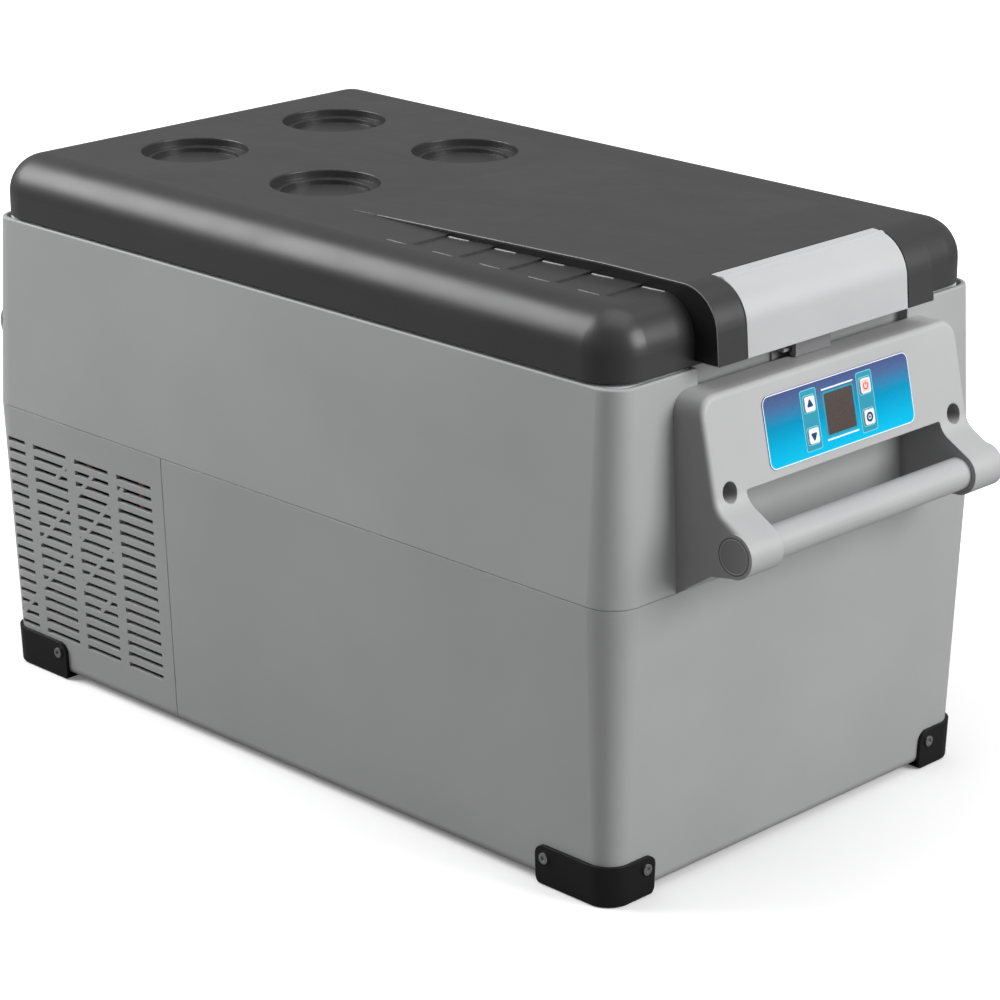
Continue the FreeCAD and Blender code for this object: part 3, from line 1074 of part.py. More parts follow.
def fan_rotor():
    """Hub with twisted blades about the Y axis of the fan."""
    hub_radius, tip = 17.0, number("Size.fan_bore / 2 - 2.5")
    depth = number(f"Size.fan_depth - {MOTOR_LONG} - 3")
    hub = Part.makeCylinder(hub_radius, depth)
    hub = hub.makeFillet(2, [item for item in hub.Edges if level(item, 0.0)])
    shape = hub
    blades = int(number("Size.fan_blades"))
    for index in range(blades):
        sections = []
        for radius, turn in ((hub_radius - 2, 50), (tip, 28)):
            chord = Part.makePolygon([Vector(radius, a, b) for a, b in
                                      ((-15, -0.8), (15, -0.8), (15, 0.8), (-15, 0.8), (-15, -0.8))])
            chord.rotate(Vector(radius, 0, 0), Vector(1, 0, 0), turn)
            sections.append(chord)
        blade = Part.makeLoft(sections, True, True)
        blade.translate(Vector(0, 0, depth / 2))
        blade.rotate(Vector(), Vector(0, 0, 1), 360.0 * index / blades)
        shape = shape.fuse(blade)
    room = Part.makeCylinder(tip, depth).cut(Part.makeCylinder(1, depth))
    return shape.common(room.fuse(Part.makeCylinder(2, depth)))


rotor = shape_object("rotor", fan_rotor())
rotor.Placement = Placement(Vector(number("Size.fan_x"), number(f"{FAN_LOW} + 1.5"), number("Size.fan_z")),
                            Rotation(Vector(1, 0, 0), -90))
node(rotor, "fan_rotor")

CONDENSER_Y = f"({FAN_LOW} - 2 - Size.condenser_depth)"


def condenser():
    """Stack of fins on serpentine tube runs, with end plates."""
    long, tall = number("Size.condenser_length"), number("Size.condenser_height")
    deep, base = number("Size.condenser_depth"), number(DECK)
    x, y = number("Size.fan_x - Size.condenser_length / 2"), number(CONDENSER_Y)
    fins = int(number("Size.condenser_fins"))
    pieces = [Part.makeBox(2.0, deep, tall, Vector(x + end, y, base)) for end in (0, long - 2.0)]
    for index in range(1, fins):
        pieces.append(Part.makeBox(0.6, deep, tall - 8, Vector(x + long * index / fins, y, base + 4)))
    runs = 6
    for index in range(runs):
        z = base + tall * (index + 0.5) / runs
        pieces.append(Part.makeCylinder(3.2, long + 10, Vector(x - 5, y + deep / 2, z), Vector(1, 0, 0)))
    return pieces[0].multiFuse(pieces[1:])


node(shape_object("condenser_block", condenser()), "condenser")
shroud = box("shroud", "Size.fan_x - Size.condenser_length / 2", "Size.fan_x + Size.condenser_length / 2",
             f"{FAN_LOW} - 2", FAN_LOW, DECK, f"{DECK} + Size.condenser_height")
node(cut("shroud_cut", shroud, fan_hole), "fan_shroud")

controller = new_body("controller")
outline = rounded_rectangle(controller, f"{TRAY_X} - 52", f"{TRAY_X} + 40", "Size.tray_width / 2 - 26",
                            "Size.tray_width / 2 - 4", "4", DECK)
feature(controller, "Pad", outline, "62")
node(controller, "controller_housing")

DRIER_X, DRIER_Y = f"({COVER_X} - 24)", "(Size.fan_y + 44)"
drier_z = f"({DECK} + 24)"
drier = fuse("drier", rod("drier_can", (DRIER_X, DRIER_Y, drier_z), "9", "64"),
             rod("drier_neck", (DRIER_X, DRIER_Y, DECK), "4", "100"))
node(drier, "filter_drier")


def tube(points, radius, bend):
    """Round tube along straight runs joined by tangent arcs."""
    edges, start = [], Vector(*points[0])
    for before, corner, after in zip(points, points[1:], points[2:]):
        corner = Vector(*corner)
        into = (corner - Vector(*before)).normalize()
        out = (Vector(*after) - corner).normalize()
        half = into.getAngle(out) / 2
        trim = bend * math.tan(half)
        first, last = corner - into * trim, corner + out * trim
        middle = corner + (out - into).normalize() * (bend / math.cos(half) - bend)
        edges += [Part.LineSegment(start, first).toShape(), Part.Arc(first, middle, last).toShape()]
        start = last
    edges.append(Part.LineSegment(start, Vector(*points[-1])).toShape())
    path = Part.Wire(edges)
    circle = Part.Circle(Vector(*points[0]), Vector(*points[1]) - Vector(*points[0]), radius)
    return path.makePipeShell([Part.Wire(circle.toShape())], True, False)


def refrigerant_tubes():
    """Discharge, liquid and suction lines between compressor, condenser and drier."""
    radius = number("Size.tube_radius")
    can_x, can_y = number("Size.can_x"), number("Size.can_y")
    stub_top = number(f"{CAN_Z} + Size.can_height + 28")
    can_top = number(f"{CAN_Z} + Size.can_height + Size.can_dome")
    drier = (number(DRIER_X), number(DRIER_Y))
    drier_top = number(f"{DECK} + 100")
    ceiling = number("Size.seam_height - 12")
    fan_x, fan_y = number("Size.fan_x"), number(CONDENSER_Y)
    inlet = number(f"{DECK} + Size.condenser_height")
    discharge = tube([(can_x - 30, can_y - 24, stub_top), (can_x - 30, can_y - 24, ceiling),
                      (can_x - 30, fan_y + 10, ceiling), (can_x - 30, fan_y + 10, inlet)], radius, 12)
    liquid = tube([(drier[0], drier[1], drier_top), (drier[0], drier[1], ceiling),
                   (drier[0], fan_y + 10, ceiling), (fan_x + 20, fan_y + 10, ceiling),
                   (fan_x + 20, fan_y + 10, inlet)], radius, 9)
    suction = tube([(can_x, can_y, can_top), (can_x, can_y, ceiling),
                    (number(COVER_X) - 8, can_y, ceiling)], radius + 1, 12)
    return Part.makeCompound([discharge, liquid, suction])


node(shape_object("tubes", refrigerant_tubes()), "refrigerant_tubes")

socket_plate = box("socket_plate", f"{SOCKET_X} - 2.2", f"{SOCKET_X} + 12",
                   "Size.socket_y - Size.socket_width / 2 + 3.2", "Size.socket_y + Size.socket_width / 2 - 3.2",
                   "Size.socket_z - Size.socket_height / 2 + 3.2", "Size.socket_z + Size.socket_height / 2 - 3.2")
socket_rim = box("socket_rim", f"{SOCKET_X} - 3", f"{SOCKET_X} + 3", "Size.socket_y - Size.socket_width / 2",
                 "Size.socket_y + Size.socket_width / 2", "Size.socket_z - Size.socket_height / 2",
                 "Size.socket_z + Size.socket_height / 2")
inlet_well = box("inlet_well", f"{SOCKET_X} - 6", f"{SOCKET_X} + 9", "Size.socket_y - 15", "Size.socket_y + 3",
                 "Size.socket_z - 8", "Size.socket_z + 8")
fuse_well = rod("fuse_well", (f"{SOCKET_X} - 6", "Size.socket_y + 11.5", "Size.socket_z"), "5", "14", ALONG_X)
socket_backing = new_body("socket_backing")
lower_block(socket_backing)
socket_outer = cut("socket_outer", socket_rim, socket_backing)
node(cut("socket", fuse("socket_blank", socket_outer, socket_plate), group("wells", inlet_well, fuse_well)),
     "power_socket")
pins = [rod(f"inlet_pin_{i}", (f"{SOCKET_X} - 1", f"Size.socket_y - 6 + {offset}", "Size.socket_z"), "1.6",
            "10", ALONG_X) for i, offset in enumerate((-4, 4))]
node(group("pins", *pins), "power_inlet_pins")
fuse_body = rod("fuse_body", (f"{SOCKET_X} - 4.5", "Size.socket_y + 11.5", "Size.socket_z"), "5", "12.5", ALONG_X)
fuse_slot = box("fuse_slot", f"{SOCKET_X} - 5", f"{SOCKET_X} - 3.3", "Size.socket_y + 7.5",
                "Size.socket_y + 15.5", "Size.socket_z - 0.6", "Size.socket_z + 0.6")
node(cut("fuse_cap", fuse_body, fuse_slot), "fuse_cap")

lamp = box("lamp", "-14", "14", f"{TUB_Y} - 5", TUB_Y, "Size.rim_height - 34", "Size.rim_height - 22")
node(lamp, "interior_light")

# ---------------------------------------------------------------- check and write
doc.recompute()
for item in doc.Objects:
    if "Invalid" in item.State or "Error" in item.State:
        raise RuntimeError(f"{item.Name} failed: {item.State}")
for item in NODES:
    if item.Shape.isNull() or not item.Shape.isValid() or not item.Shape.Solids:
        raise RuntimeError(item.Label + " is not a valid solid")
os.makedirs("parts", exist_ok=True)
for item in NODES:
    item.Shape.exportStep(os.path.join("parts", item.Label + ".step"))
    print(f"{item.Label}: {len(item.Shape.Solids)} solids, {item.Shape.Volume / 1000:.1f} cm3")
print(len(NODES), "nodes")
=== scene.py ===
# %% [markdown]
# # A portable compressor cooler
#
# The imported CAD model arrives as a fixed frame: every node already sits where it belongs, in metres,
# +Z up and +X towards the end with the control panel. This lesson gives that frame its looks. It sets
# up the camera, floor and light, builds each finish from small shader groups, and adds the printed and
# moulded details that are too fine for the CAD: key symbols, the sticker's print, ribs beside the lid's
# band and rims on the end caps, and a black plate and a pale bead on the band's sides that paint shade
# and a highlight.

# %% Load the frame
import json
import math

import bmesh
import bpy
from mathutils import Matrix, Vector
from mathutils.bvhtree import BVHTree


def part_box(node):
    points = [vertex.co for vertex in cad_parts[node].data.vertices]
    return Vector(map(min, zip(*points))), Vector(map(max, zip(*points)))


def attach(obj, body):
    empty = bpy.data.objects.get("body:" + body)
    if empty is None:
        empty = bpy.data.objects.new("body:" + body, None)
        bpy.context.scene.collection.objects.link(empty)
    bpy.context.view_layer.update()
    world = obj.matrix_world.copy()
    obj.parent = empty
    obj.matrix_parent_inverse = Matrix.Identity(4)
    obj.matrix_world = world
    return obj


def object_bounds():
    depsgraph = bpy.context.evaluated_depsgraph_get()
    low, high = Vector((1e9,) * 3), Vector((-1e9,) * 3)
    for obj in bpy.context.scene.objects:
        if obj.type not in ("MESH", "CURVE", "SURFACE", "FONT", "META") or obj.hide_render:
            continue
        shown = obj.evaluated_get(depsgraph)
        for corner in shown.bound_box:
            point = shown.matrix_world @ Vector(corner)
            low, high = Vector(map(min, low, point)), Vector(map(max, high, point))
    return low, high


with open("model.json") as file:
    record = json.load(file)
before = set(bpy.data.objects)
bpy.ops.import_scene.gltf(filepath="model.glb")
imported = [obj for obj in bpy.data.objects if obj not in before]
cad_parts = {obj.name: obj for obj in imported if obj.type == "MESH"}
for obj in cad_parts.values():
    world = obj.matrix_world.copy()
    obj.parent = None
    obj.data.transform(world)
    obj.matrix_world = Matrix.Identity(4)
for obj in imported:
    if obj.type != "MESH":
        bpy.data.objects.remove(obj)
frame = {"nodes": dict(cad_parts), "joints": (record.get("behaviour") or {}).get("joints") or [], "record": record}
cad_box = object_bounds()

NODES = frame["nodes"]
MM = 0.001
print(len(NODES), "nodes,", "box", [round(v, 3) for corner in cad_box for v in corner])

# %% [markdown]
# ## Camera
#
# A product shot is taken from well back with a long lens, so that the cabinet's edges stay almost
# parallel. The camera is placed by its own three axes instead of by angles, because those say exactly
# where it looks without any roll.

# %% Camera
LENS_MM, SENSOR_MM = 119.91, 36.0
EYE = Vector((1.3925, -1.3734, 0.8224))
RIGHT = Vector((0.709557, 0.704648, 0.0))
DOWN = Vector((0.232992, -0.234615, -0.943754))
FORWARD = Vector((-0.665014, 0.669647, -0.330650))

camera = bpy.data.objects.new("camera", bpy.data.cameras.new("camera"))
camera.data.lens, camera.data.sensor_width = LENS_MM, SENSOR_MM
camera.matrix_world = Matrix.Translation(EYE) @ Matrix((RIGHT, -DOWN, -FORWARD)).transposed().to_4x4()
bpy.context.scene.collection.objects.link(camera)
bpy.context.scene.camera = camera
bpy.context.scene.view_settings.view_transform = "Standard"
print("camera at", tuple(EYE), "with a", LENS_MM, "mm lens")

# %% [markdown]
# ## Node helpers
#
# Shader trees are easier to read when each node is one line. `add` makes a node and fills its inputs,
# with a number, a colour or the output of another node. `maths` and `mix` are the two that are used
# most.


# %% Node helpers
def connect(tree, socket, value):
    """Fill an input with a constant, or link another node's output to it."""
    if isinstance(value, bpy.types.NodeSocket):
        tree.links.new(value, socket)
    else:
        socket.default_value = value


def add(tree, kind, settings=None, **inputs):
    node = tree.nodes.new("ShaderNode" + kind)
    for key, value in (settings or {}).items():
        setattr(node, key, value)
    for key, value in inputs.items():
        connect(tree, node.inputs[key.replace("_", " ")], value)
    return node


def maths(tree, operation, first, second=0.0, clamp=False):
    node = add(tree, "Math", {"operation": operation, "use_clamp": clamp})
    connect(tree, node.inputs[0], first)
    connect(tree, node.inputs[1], second)
    return node.outputs[0]


def mix(tree, share, low, high, blend="MIX"):
    """Colour between low and high; a constant colour is three numbers."""
    node = add(tree, "Mix", {"data_type": "RGBA", "blend_type": blend})
    for index, value in ((0, share), (6, low), (7, high)):
        connect(tree, node.inputs[index], (*value, 1.0) if isinstance(value, (tuple, list)) else value)
    return node.outputs[2]


def remap(tree, value, from_low, from_high, to_low=0.0, to_high=1.0):
    node = add(tree, "MapRange", Value=value, From_Min=from_low, From_Max=from_high,
               To_Min=to_low, To_Max=to_high)
    return node.outputs["Result"]


def new_group(name, inputs, outputs):
    """Empty node group with float or vector sockets; returns its tree and its two ends."""
    tree = bpy.data.node_groups.new(name, "ShaderNodeTree")
    for label, default in inputs.items():
        kind = "NodeSocketVector" if default is None else "NodeSocketFloat"
        socket = tree.interface.new_socket(label, in_out="INPUT", socket_type=kind)
        if default is not None:
            socket.default_value = default
    for label, kind in outputs.items():
        tree.interface.new_socket(label, in_out="OUTPUT", socket_type="NodeSocket" + kind)
    return tree, tree.nodes.new("NodeGroupInput").outputs, tree.nodes.new("NodeGroupOutput").inputs


def place(tree, group, **inputs):
    """Put a finished group in a material."""
    return add(tree, "Group", {"node_tree": group}, **inputs).outputs


# %% [markdown]
# ## Effects that several finishes share
#
# Injection moulded plastic is never quite even. The tool is spark eroded, which leaves a fine grain,
# and the melt cools unevenly, which leaves faint cloudy patches. One group gives both: the grain as a
# height for a Bump node and the clouds as a value. Noise at two scales does this without any image.

# %% Moulded grain
GRAIN, given, result = new_group("moulded_grain", {"Vector": None, "Scale": 2200.0},
                                 {"Height": "Float", "Clouds": "Float"})
fine = add(GRAIN, "TexNoise", Vector=given["Vector"], Scale=given["Scale"], Detail=2.0, Roughness=0.55)
coarse = add(GRAIN, "TexNoise", Vector=given["Vector"], Scale=7.0, Detail=4.0, Roughness=0.6)
GRAIN.links.new(fine.outputs["Fac"], result["Height"])
GRAIN.links.new(remap(GRAIN, coarse.outputs["Fac"], 0.3, 0.7), result["Clouds"])
print("group", GRAIN.name)

# %% [markdown]
# A moulded edge always has a small radius, and that radius is where hands and luggage rub it. The Bevel
# node reads the surface just beside the point that is shaded: its normal rounds the edge, and how far
# it turns from the real normal says how close the edge is. Noise breaks the wearing up. The pale edge is
# scuffing, and on the brackets, where it is made broad and light, it is also a painted highlight that
# stands for the bright line light draws along their edges.

# %% Soft and worn edges
EDGES, given, result = new_group("soft_edges_worn_and_highlit", {"Vector": None, "Radius": 0.0006, "Wear": 0.4},
                                 {"Normal": "Vector", "WornAndHighlit": "Float"})
round_edge = add(EDGES, "Bevel", {"samples": 4}, Radius=given["Radius"]).outputs["Normal"]
flat = add(EDGES, "NewGeometry").outputs["Normal"]
facing = add(EDGES, "VectorMath", {"operation": "DOT_PRODUCT"})
EDGES.links.new(round_edge, facing.inputs[0])
EDGES.links.new(flat, facing.inputs[1])
turned = remap(EDGES, facing.outputs["Value"], 0.985, 0.80)
rubbed = add(EDGES, "TexNoise", Vector=given["Vector"], Scale=60.0, Detail=6.0, Roughness=0.7)
patchy = remap(EDGES, rubbed.outputs["Fac"], 0.42, 0.62)
EDGES.links.new(maths(EDGES, "MULTIPLY", maths(EDGES, "MULTIPLY", turned, patchy), given["Wear"]),
                result["WornAndHighlit"])
EDGES.links.new(round_edge, result["Normal"])
print("group", EDGES.name)

# %% [markdown]
# Dust settles where a surface faces up, and fingers leave faint smears that only change the gloss.
# Both come out as masks, so each material decides how strong they are.

# %% Dust and smears
DUST, given, result = new_group("dust_and_smears", {"Vector": None, "Dust": 0.1},
                                {"Dusty": "Float", "Smears": "Float"})
upward = add(DUST, "SeparateXYZ", Vector=add(DUST, "NewGeometry").outputs["Normal"]).outputs["Z"]
specks = add(DUST, "TexNoise", Vector=given["Vector"], Scale=900.0, Detail=3.0, Roughness=0.7)
flat_share = remap(DUST, upward, 0.5, 1.0)
speckled = remap(DUST, specks.outputs["Fac"], 0.45, 0.75)
settled = maths(DUST, "MULTIPLY", flat_share, speckled)
DUST.links.new(maths(DUST, "MULTIPLY", settled, given["Dust"]), result["Dusty"])
stretch = add(DUST, "Mapping", Vector=given["Vector"], Scale=(1.0, 1.6, 3.0), Rotation=(0.3, 0.5, 0.2))
smear = add(DUST, "TexNoise", Vector=stretch.outputs["Vector"], Scale=16.0, Detail=5.0, Roughness=0.65,
            Distortion=0.8)
DUST.links.new(remap(DUST, smear.outputs["Fac"], 0.4, 0.65), result["Smears"])
print("group", DUST.name)

# %% [markdown]
# ## Finishes
#
# One function makes every plain finish. The Principled shader stays in the material, and the groups
# feed it: clouds and pale edges (scuffing, and on the brackets also a painted highlight) go to the
# colour, clouds and smears to the roughness, and the grain bumps the rounded normal. Constants such as
# the metallic value are set on the shader's own sockets.

# %% Finish builder
DUST_COLOUR = (0.55, 0.53, 0.50)


def shader_of(name):
    """New material and the parts of its tree that every finish uses."""
    material = bpy.data.materials.new(name)
    material.use_nodes = True
    tree = material.node_tree
    return material, tree, tree.nodes["Principled BSDF"], add(tree, "TexCoord").outputs["Object"]


def finish(name, colour, rough, worn_and_highlit=None, wear_and_highlight=0.3, dust=0.04, grain=2200.0, depth=0.012, radius=0.6,
           spread=0.05, metallic=0.0, coat=0.0, vary=0.05, specular=0.5, accent=None):
    """A plain finish. Depth of grain and edge radius are in millimetres.

    Pale edges, from scuffing and on the brackets also a painted highlight, show a paler version of the
    colour where no edge colour is given. An accent is a second colour with a function that makes its mask
    from the material's tree.
    """
    material, tree, shader, where = shader_of(name)
    base = place(tree, GRAIN, Vector=where, Scale=grain)
    edges = place(tree, EDGES, Vector=where, Radius=radius * MM, Wear=wear_and_highlight)
    marks = place(tree, DUST, Vector=where, Dust=dust)
    dark, light = ([c * (1 + side * vary) for c in colour] for side in (-1, 1))
    tone = mix(tree, base["Clouds"], dark, light)
    if accent:
        tone = mix(tree, accent[1](tree, where), tone, accent[0])
    tone = mix(tree, edges["WornAndHighlit"], tone, worn_and_highlit or [min(1.0, c * 1.5 + 0.05) for c in colour])
    connect(tree, shader.inputs["Base Color"], mix(tree, marks["Dusty"], tone, DUST_COLOUR))
    gloss = remap(tree, base["Clouds"], 0.0, 1.0, rough - spread, rough + spread)
    gloss = maths(tree, "ADD", gloss, maths(tree, "MULTIPLY", marks["Smears"], spread))
    connect(tree, shader.inputs["Roughness"], gloss)
    bump = add(tree, "Bump", Height=base["Height"], Distance=depth * MM, Strength=1.0,
               Normal=edges["Normal"])
    connect(tree, shader.inputs["Normal"], bump.outputs["Normal"])
    shader.inputs["Metallic"].default_value = metallic
    shader.inputs["Coat Weight"].default_value = coat
    shader.inputs["Specular IOR Level"].default_value = specular
    return material


# %% [markdown]
# Two finishes carry a second colour. On the brackets it is painted shade: their flat sides are darker than
# the rest, standing for the shade on the sides that the light misses, so their mask picks faces that look
# along Y. The flap is silver but the hook behind it is grey, so its mask is a box behind the flap, in
# coordinates that move with the flap. Both masks take the same two arguments, although the first
# doesn't need the place.


# %% Masks for a second colour
def painted_side_shade(tree, where):
    """1 on faces that look along Y, fading out over a rounded corner; there the darker tone is painted shade."""
    along = add(tree, "SeparateXYZ", Vector=add(tree, "NewGeometry").outputs["Normal"]).outputs["Y"]
    return remap(tree, maths(tree, "ABSOLUTE", along), 0.60, 0.98)


flap_low, flap_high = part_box("latch_flap")
HOOK_FRONT = flap_high.x - 3.2 * MM
HOOK_TOP = flap_low.z + 20.0 * MM
HOOK_HALF = 15.5 * MM


def behind_flap(tree, where):
    """1 on the hook under the flap."""
    spot = add(tree, "SeparateXYZ", Vector=where).outputs
    low = maths(tree, "LESS_THAN", spot["Z"], HOOK_TOP)
    back = maths(tree, "LESS_THAN", spot["X"], HOOK_FRONT)
    middle = maths(tree, "LESS_THAN", maths(tree, "ABSOLUTE", spot["Y"]), HOOK_HALF)
    return maths(tree, "MULTIPLY", maths(tree, "MULTIPLY", low, back), middle)


print("hook behind x", round(HOOK_FRONT, 4))

# %% [markdown]
# The casing is mid grey ABS with a fine grain. The brackets and bars are a paler moulding with darker
# end caps, the lid is a dark satin one and the flap is painted silver. The feet are softer and blacker,
# so they scuff grey.

# %% Plastic finishes
FINISHES = {
    "shell_grey": finish("shell_grey", (0.355, 0.357, 0.360), 0.50, wear_and_highlight=0.30, radius=0.8),
    # This moulding's broad pale edges are partly scuffing and partly a painted highlight for the bright line along
    # its edges.
    "bracket_grey": finish("bracket_grey", (0.415, 0.416, 0.420), 0.46, worn_and_highlit=(0.62, 0.62, 0.63), wear_and_highlight=0.55,
                           # The darker tone on this moulding's faces that look along Y is painted shade for the
                           # sides that the light misses.
                           radius=0.8, accent=((0.27, 0.27, 0.275), painted_side_shade)),
    "cap_grey": finish("cap_grey", (0.185, 0.185, 0.188), 0.42, wear_and_highlight=0.25, radius=0.5),
    "lid_grey": finish("lid_grey", (0.032, 0.032, 0.033), 0.35, wear_and_highlight=0.15, dust=0.015, radius=0.7,
                       depth=0.015, specular=0.45),
    "latch_silver": finish("latch_silver", (0.47, 0.472, 0.478), 0.36, worn_and_highlit=(0.80, 0.80, 0.81), wear_and_highlight=0.45,
                           dust=0.02, radius=0.7, accent=((0.20, 0.20, 0.205), behind_flap)),
    "liner_white": finish("liner_white", (0.74, 0.755, 0.77), 0.30, wear_and_highlight=0.05, radius=1.2, depth=0.004),
    "key_white": finish("key_white", (0.84, 0.845, 0.85), 0.32, wear_and_highlight=0.15, radius=0.5, depth=0.003),
    "foot_black": finish("foot_black", (0.006, 0.006, 0.0065), 0.46, worn_and_highlit=(0.06, 0.06, 0.062), wear_and_highlight=0.35,
                         dust=0.01, radius=0.7, depth=0.03, grain=1500.0, specular=0.25),
    "black_plastic": finish("black_plastic", (0.018, 0.018, 0.019), 0.45, radius=0.5),
    "gasket_rubber": finish("gasket_rubber", (0.024, 0.024, 0.026), 0.62, radius=1.0, depth=0.02),
    "lamp_lens": finish("lamp_lens", (0.80, 0.83, 0.86), 0.22, wear_and_highlight=0.0, radius=0.8, coat=0.3),
}
print(len(FINISHES), "plastic finishes")

# %% [markdown]
# The metals differ mostly in gloss. Zinc plate is bright and slightly mottled, the compressor can wears
# black enamel, the pipes are drawn copper and the cold jacket and fins are mill finish aluminium.

# %% Metal finishes
FINISHES |= {
    "zinc_steel": finish("zinc_steel", (0.60, 0.61, 0.63), 0.30, metallic=0.95, radius=0.3, vary=0.12),
    "screw_steel": finish("screw_steel", (0.30, 0.30, 0.31), 0.34, metallic=0.9, radius=0.25, vary=0.12),
    "black_enamel": finish("black_enamel", (0.016, 0.016, 0.017), 0.24, worn_and_highlit=(0.3, 0.3, 0.3), coat=0.5),
    "copper": finish("copper", (0.72, 0.36, 0.22), 0.26, metallic=1.0, radius=0.3, vary=0.15),
    "aluminium_sheet": finish("aluminium_sheet", (0.78, 0.79, 0.80), 0.36, metallic=0.95, radius=0.2),
}
print(len(FINISHES), "finishes so far")

# %% [markdown]
# Polyurethane foam sets with a cellular skin, so a Voronoi pattern makes its bump. The circuit board is
# green solder mask over copper tracks, which show as slightly lighter lines in a brick pattern.

# %% Foam and circuit board
foam, tree, shader, where = shader_of("foam")
cells = add(tree, "TexVoronoi", Vector=where, Scale=420.0).outputs["Distance"]
clouds = place(tree, GRAIN, Vector=where, Scale=900.0)["Clouds"]
connect(tree, shader.inputs["Base Color"], mix(tree, clouds, (0.80, 0.70, 0.44), (0.90, 0.82, 0.58)))
connect(tree, shader.inputs["Roughness"], remap(tree, cells, 0.0, 0.6, 0.75, 0.95))
bump = add(tree, "Bump", Height=cells, Distance=0.3 * MM, Strength=0.7)
connect(tree, shader.inputs["Normal"], bump.outputs["Normal"])
FINISHES["foam"] = foam

board, tree, shader, where = shader_of("board_green")
turned = add(tree, "Mapping", Vector=where, Rotation=(0.0, math.pi / 2, 0.0)).outputs["Vector"]
tracks = add(tree, "TexBrick", Vector=turned, Scale=170.0, Mortar_Size=0.05).outputs["Fac"]
connect(tree, shader.inputs["Base Color"], mix(tree, tracks, (0.012, 0.10, 0.035), (0.03, 0.19, 0.07)))
connect(tree, shader.inputs["Roughness"], remap(tree, tracks, 0.0, 1.0, 0.28, 0.40))
bump = add(tree, "Bump", Height=tracks, Distance=0.05 * MM, Strength=1.0)
connect(tree, shader.inputs["Normal"], bump.outputs["Normal"])
FINISHES["board_green"] = board
print("foam and board")

# %% [markdown]
# ## The control panel's own axes
#
# The sticker leans back with the bracket. The keys slide straight into the panel, so the direction of
# one key's joint gives the panel's normal, and every printed detail can be placed by how far across,
# up and out it is.

# %% Panel axes
press = next(joint for joint in frame["joints"] if joint["name"] == "up_press")
OUT = -Vector(press["axis"]).normalized()
ACROSS = Vector((0.0, 1.0, 0.0))
UP = OUT.cross(ACROSS)
low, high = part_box("control_overlay")
STICKER_MIDDLE = (low + high) / 2


def front_of(node):
    """How far out along the panel's normal a node reaches."""
    return max(OUT.dot(vertex.co) for vertex in NODES[node].data.vertices)


def half_span(node, axis):
    spans = [axis.dot(vertex.co) for vertex in NODES[node].data.vertices]
    return (max(spans) - min(spans)) / 2


STICKER_FACE = front_of("control_overlay")
STICKER_HALF_X, STICKER_HALF_Y = half_span("control_overlay", ACROSS), half_span("control_overlay", UP)
print("sticker", round(STICKER_HALF_X * 2000, 1), "by", round(STICKER_HALF_Y * 2000, 1), "mm")

# %% [markdown]
# The film is printed from a dusky purple at the top, through blue, to bright cyan at the bottom, and
# has a fine random dot screen. The gradient runs up the panel, so the position along that direction
# drives a colour ramp. A clear coat makes it shine like film over ink.

# %% Sticker film
film, tree, shader, where = shader_of("overlay_film")
along = add(tree, "VectorMath", {"operation": "DOT_PRODUCT"})
connect(tree, along.inputs[0], where)
along.inputs[1].default_value = UP
middle_up = UP.dot(STICKER_MIDDLE)
height = remap(tree, along.outputs["Value"], middle_up - STICKER_HALF_Y, middle_up + STICKER_HALF_Y)
ramp = add(tree, "ValToRGB", Fac=height)
INKS = ((0.0, (0.0, 0.48, 0.76)), (0.16, (0.0, 0.42, 0.69)), (0.55, (0.0, 0.245, 0.45)),
        (0.82, (0.070, 0.110, 0.265)), (1.0, (0.070, 0.055, 0.19)))
points = ramp.color_ramp.elements
while len(points) < len(INKS):
    points.new(0.5)
for point, (spot, ink) in zip(points, INKS):
    point.position, point.color = spot, (*ink, 1.0)
dots = add(tree, "TexNoise", Vector=where, Scale=2600.0, Detail=1.0).outputs["Fac"]
connect(tree, shader.inputs["Base Color"],
        mix(tree, remap(tree, dots, 0.35, 0.65, 0.0, 0.12), ramp.outputs["Color"], (0.0, 0.50, 0.66)))
smears = place(tree, DUST, Vector=where, Dust=0.0)["Smears"]
connect(tree, shader.inputs["Roughness"], remap(tree, smears, 0.0, 1.0, 0.24, 0.34))
bump = add(tree, "Bump", Height=dots, Distance=0.004 * MM, Strength=0.6)
connect(tree, shader.inputs["Normal"], bump.outputs["Normal"])
shader.inputs["Coat Weight"].default_value = 0.1
shader.inputs["Specular IOR Level"].default_value = 0.12
FINISHES["overlay_film"] = film
print("sticker film with", len(INKS), "inks")

# %% [markdown]
# The display is off, so its window is a smoky brown with the faint grain of a polariser. The printed
# lines and symbols are flat inks: nearly plain, with slightly uneven cover so that they don't look cut
# from paper.

# %% Display window and inks
window, tree, shader, where = shader_of("display_glass")
weave = add(tree, "TexNoise", Vector=where, Scale=1400.0, Detail=2.0).outputs["Fac"]
connect(tree, shader.inputs["Base Color"], mix(tree, weave, (0.045, 0.034, 0.032), (0.105, 0.080, 0.075)))
connect(tree, shader.inputs["Roughness"], remap(tree, weave, 0.3, 0.7, 0.16, 0.26))
bump = add(tree, "Bump", Height=weave, Distance=0.003 * MM, Strength=0.5)
connect(tree, shader.inputs["Normal"], bump.outputs["Normal"])
shader.inputs["Coat Weight"].default_value = 0.5
FINISHES["display_glass"] = window


def ink(name, colour):
    return finish(name, colour, 0.42, wear_and_highlight=0.0, dust=0.0, grain=3000.0, depth=0.003, radius=0.05, vary=0.06,
                  specular=0.15)


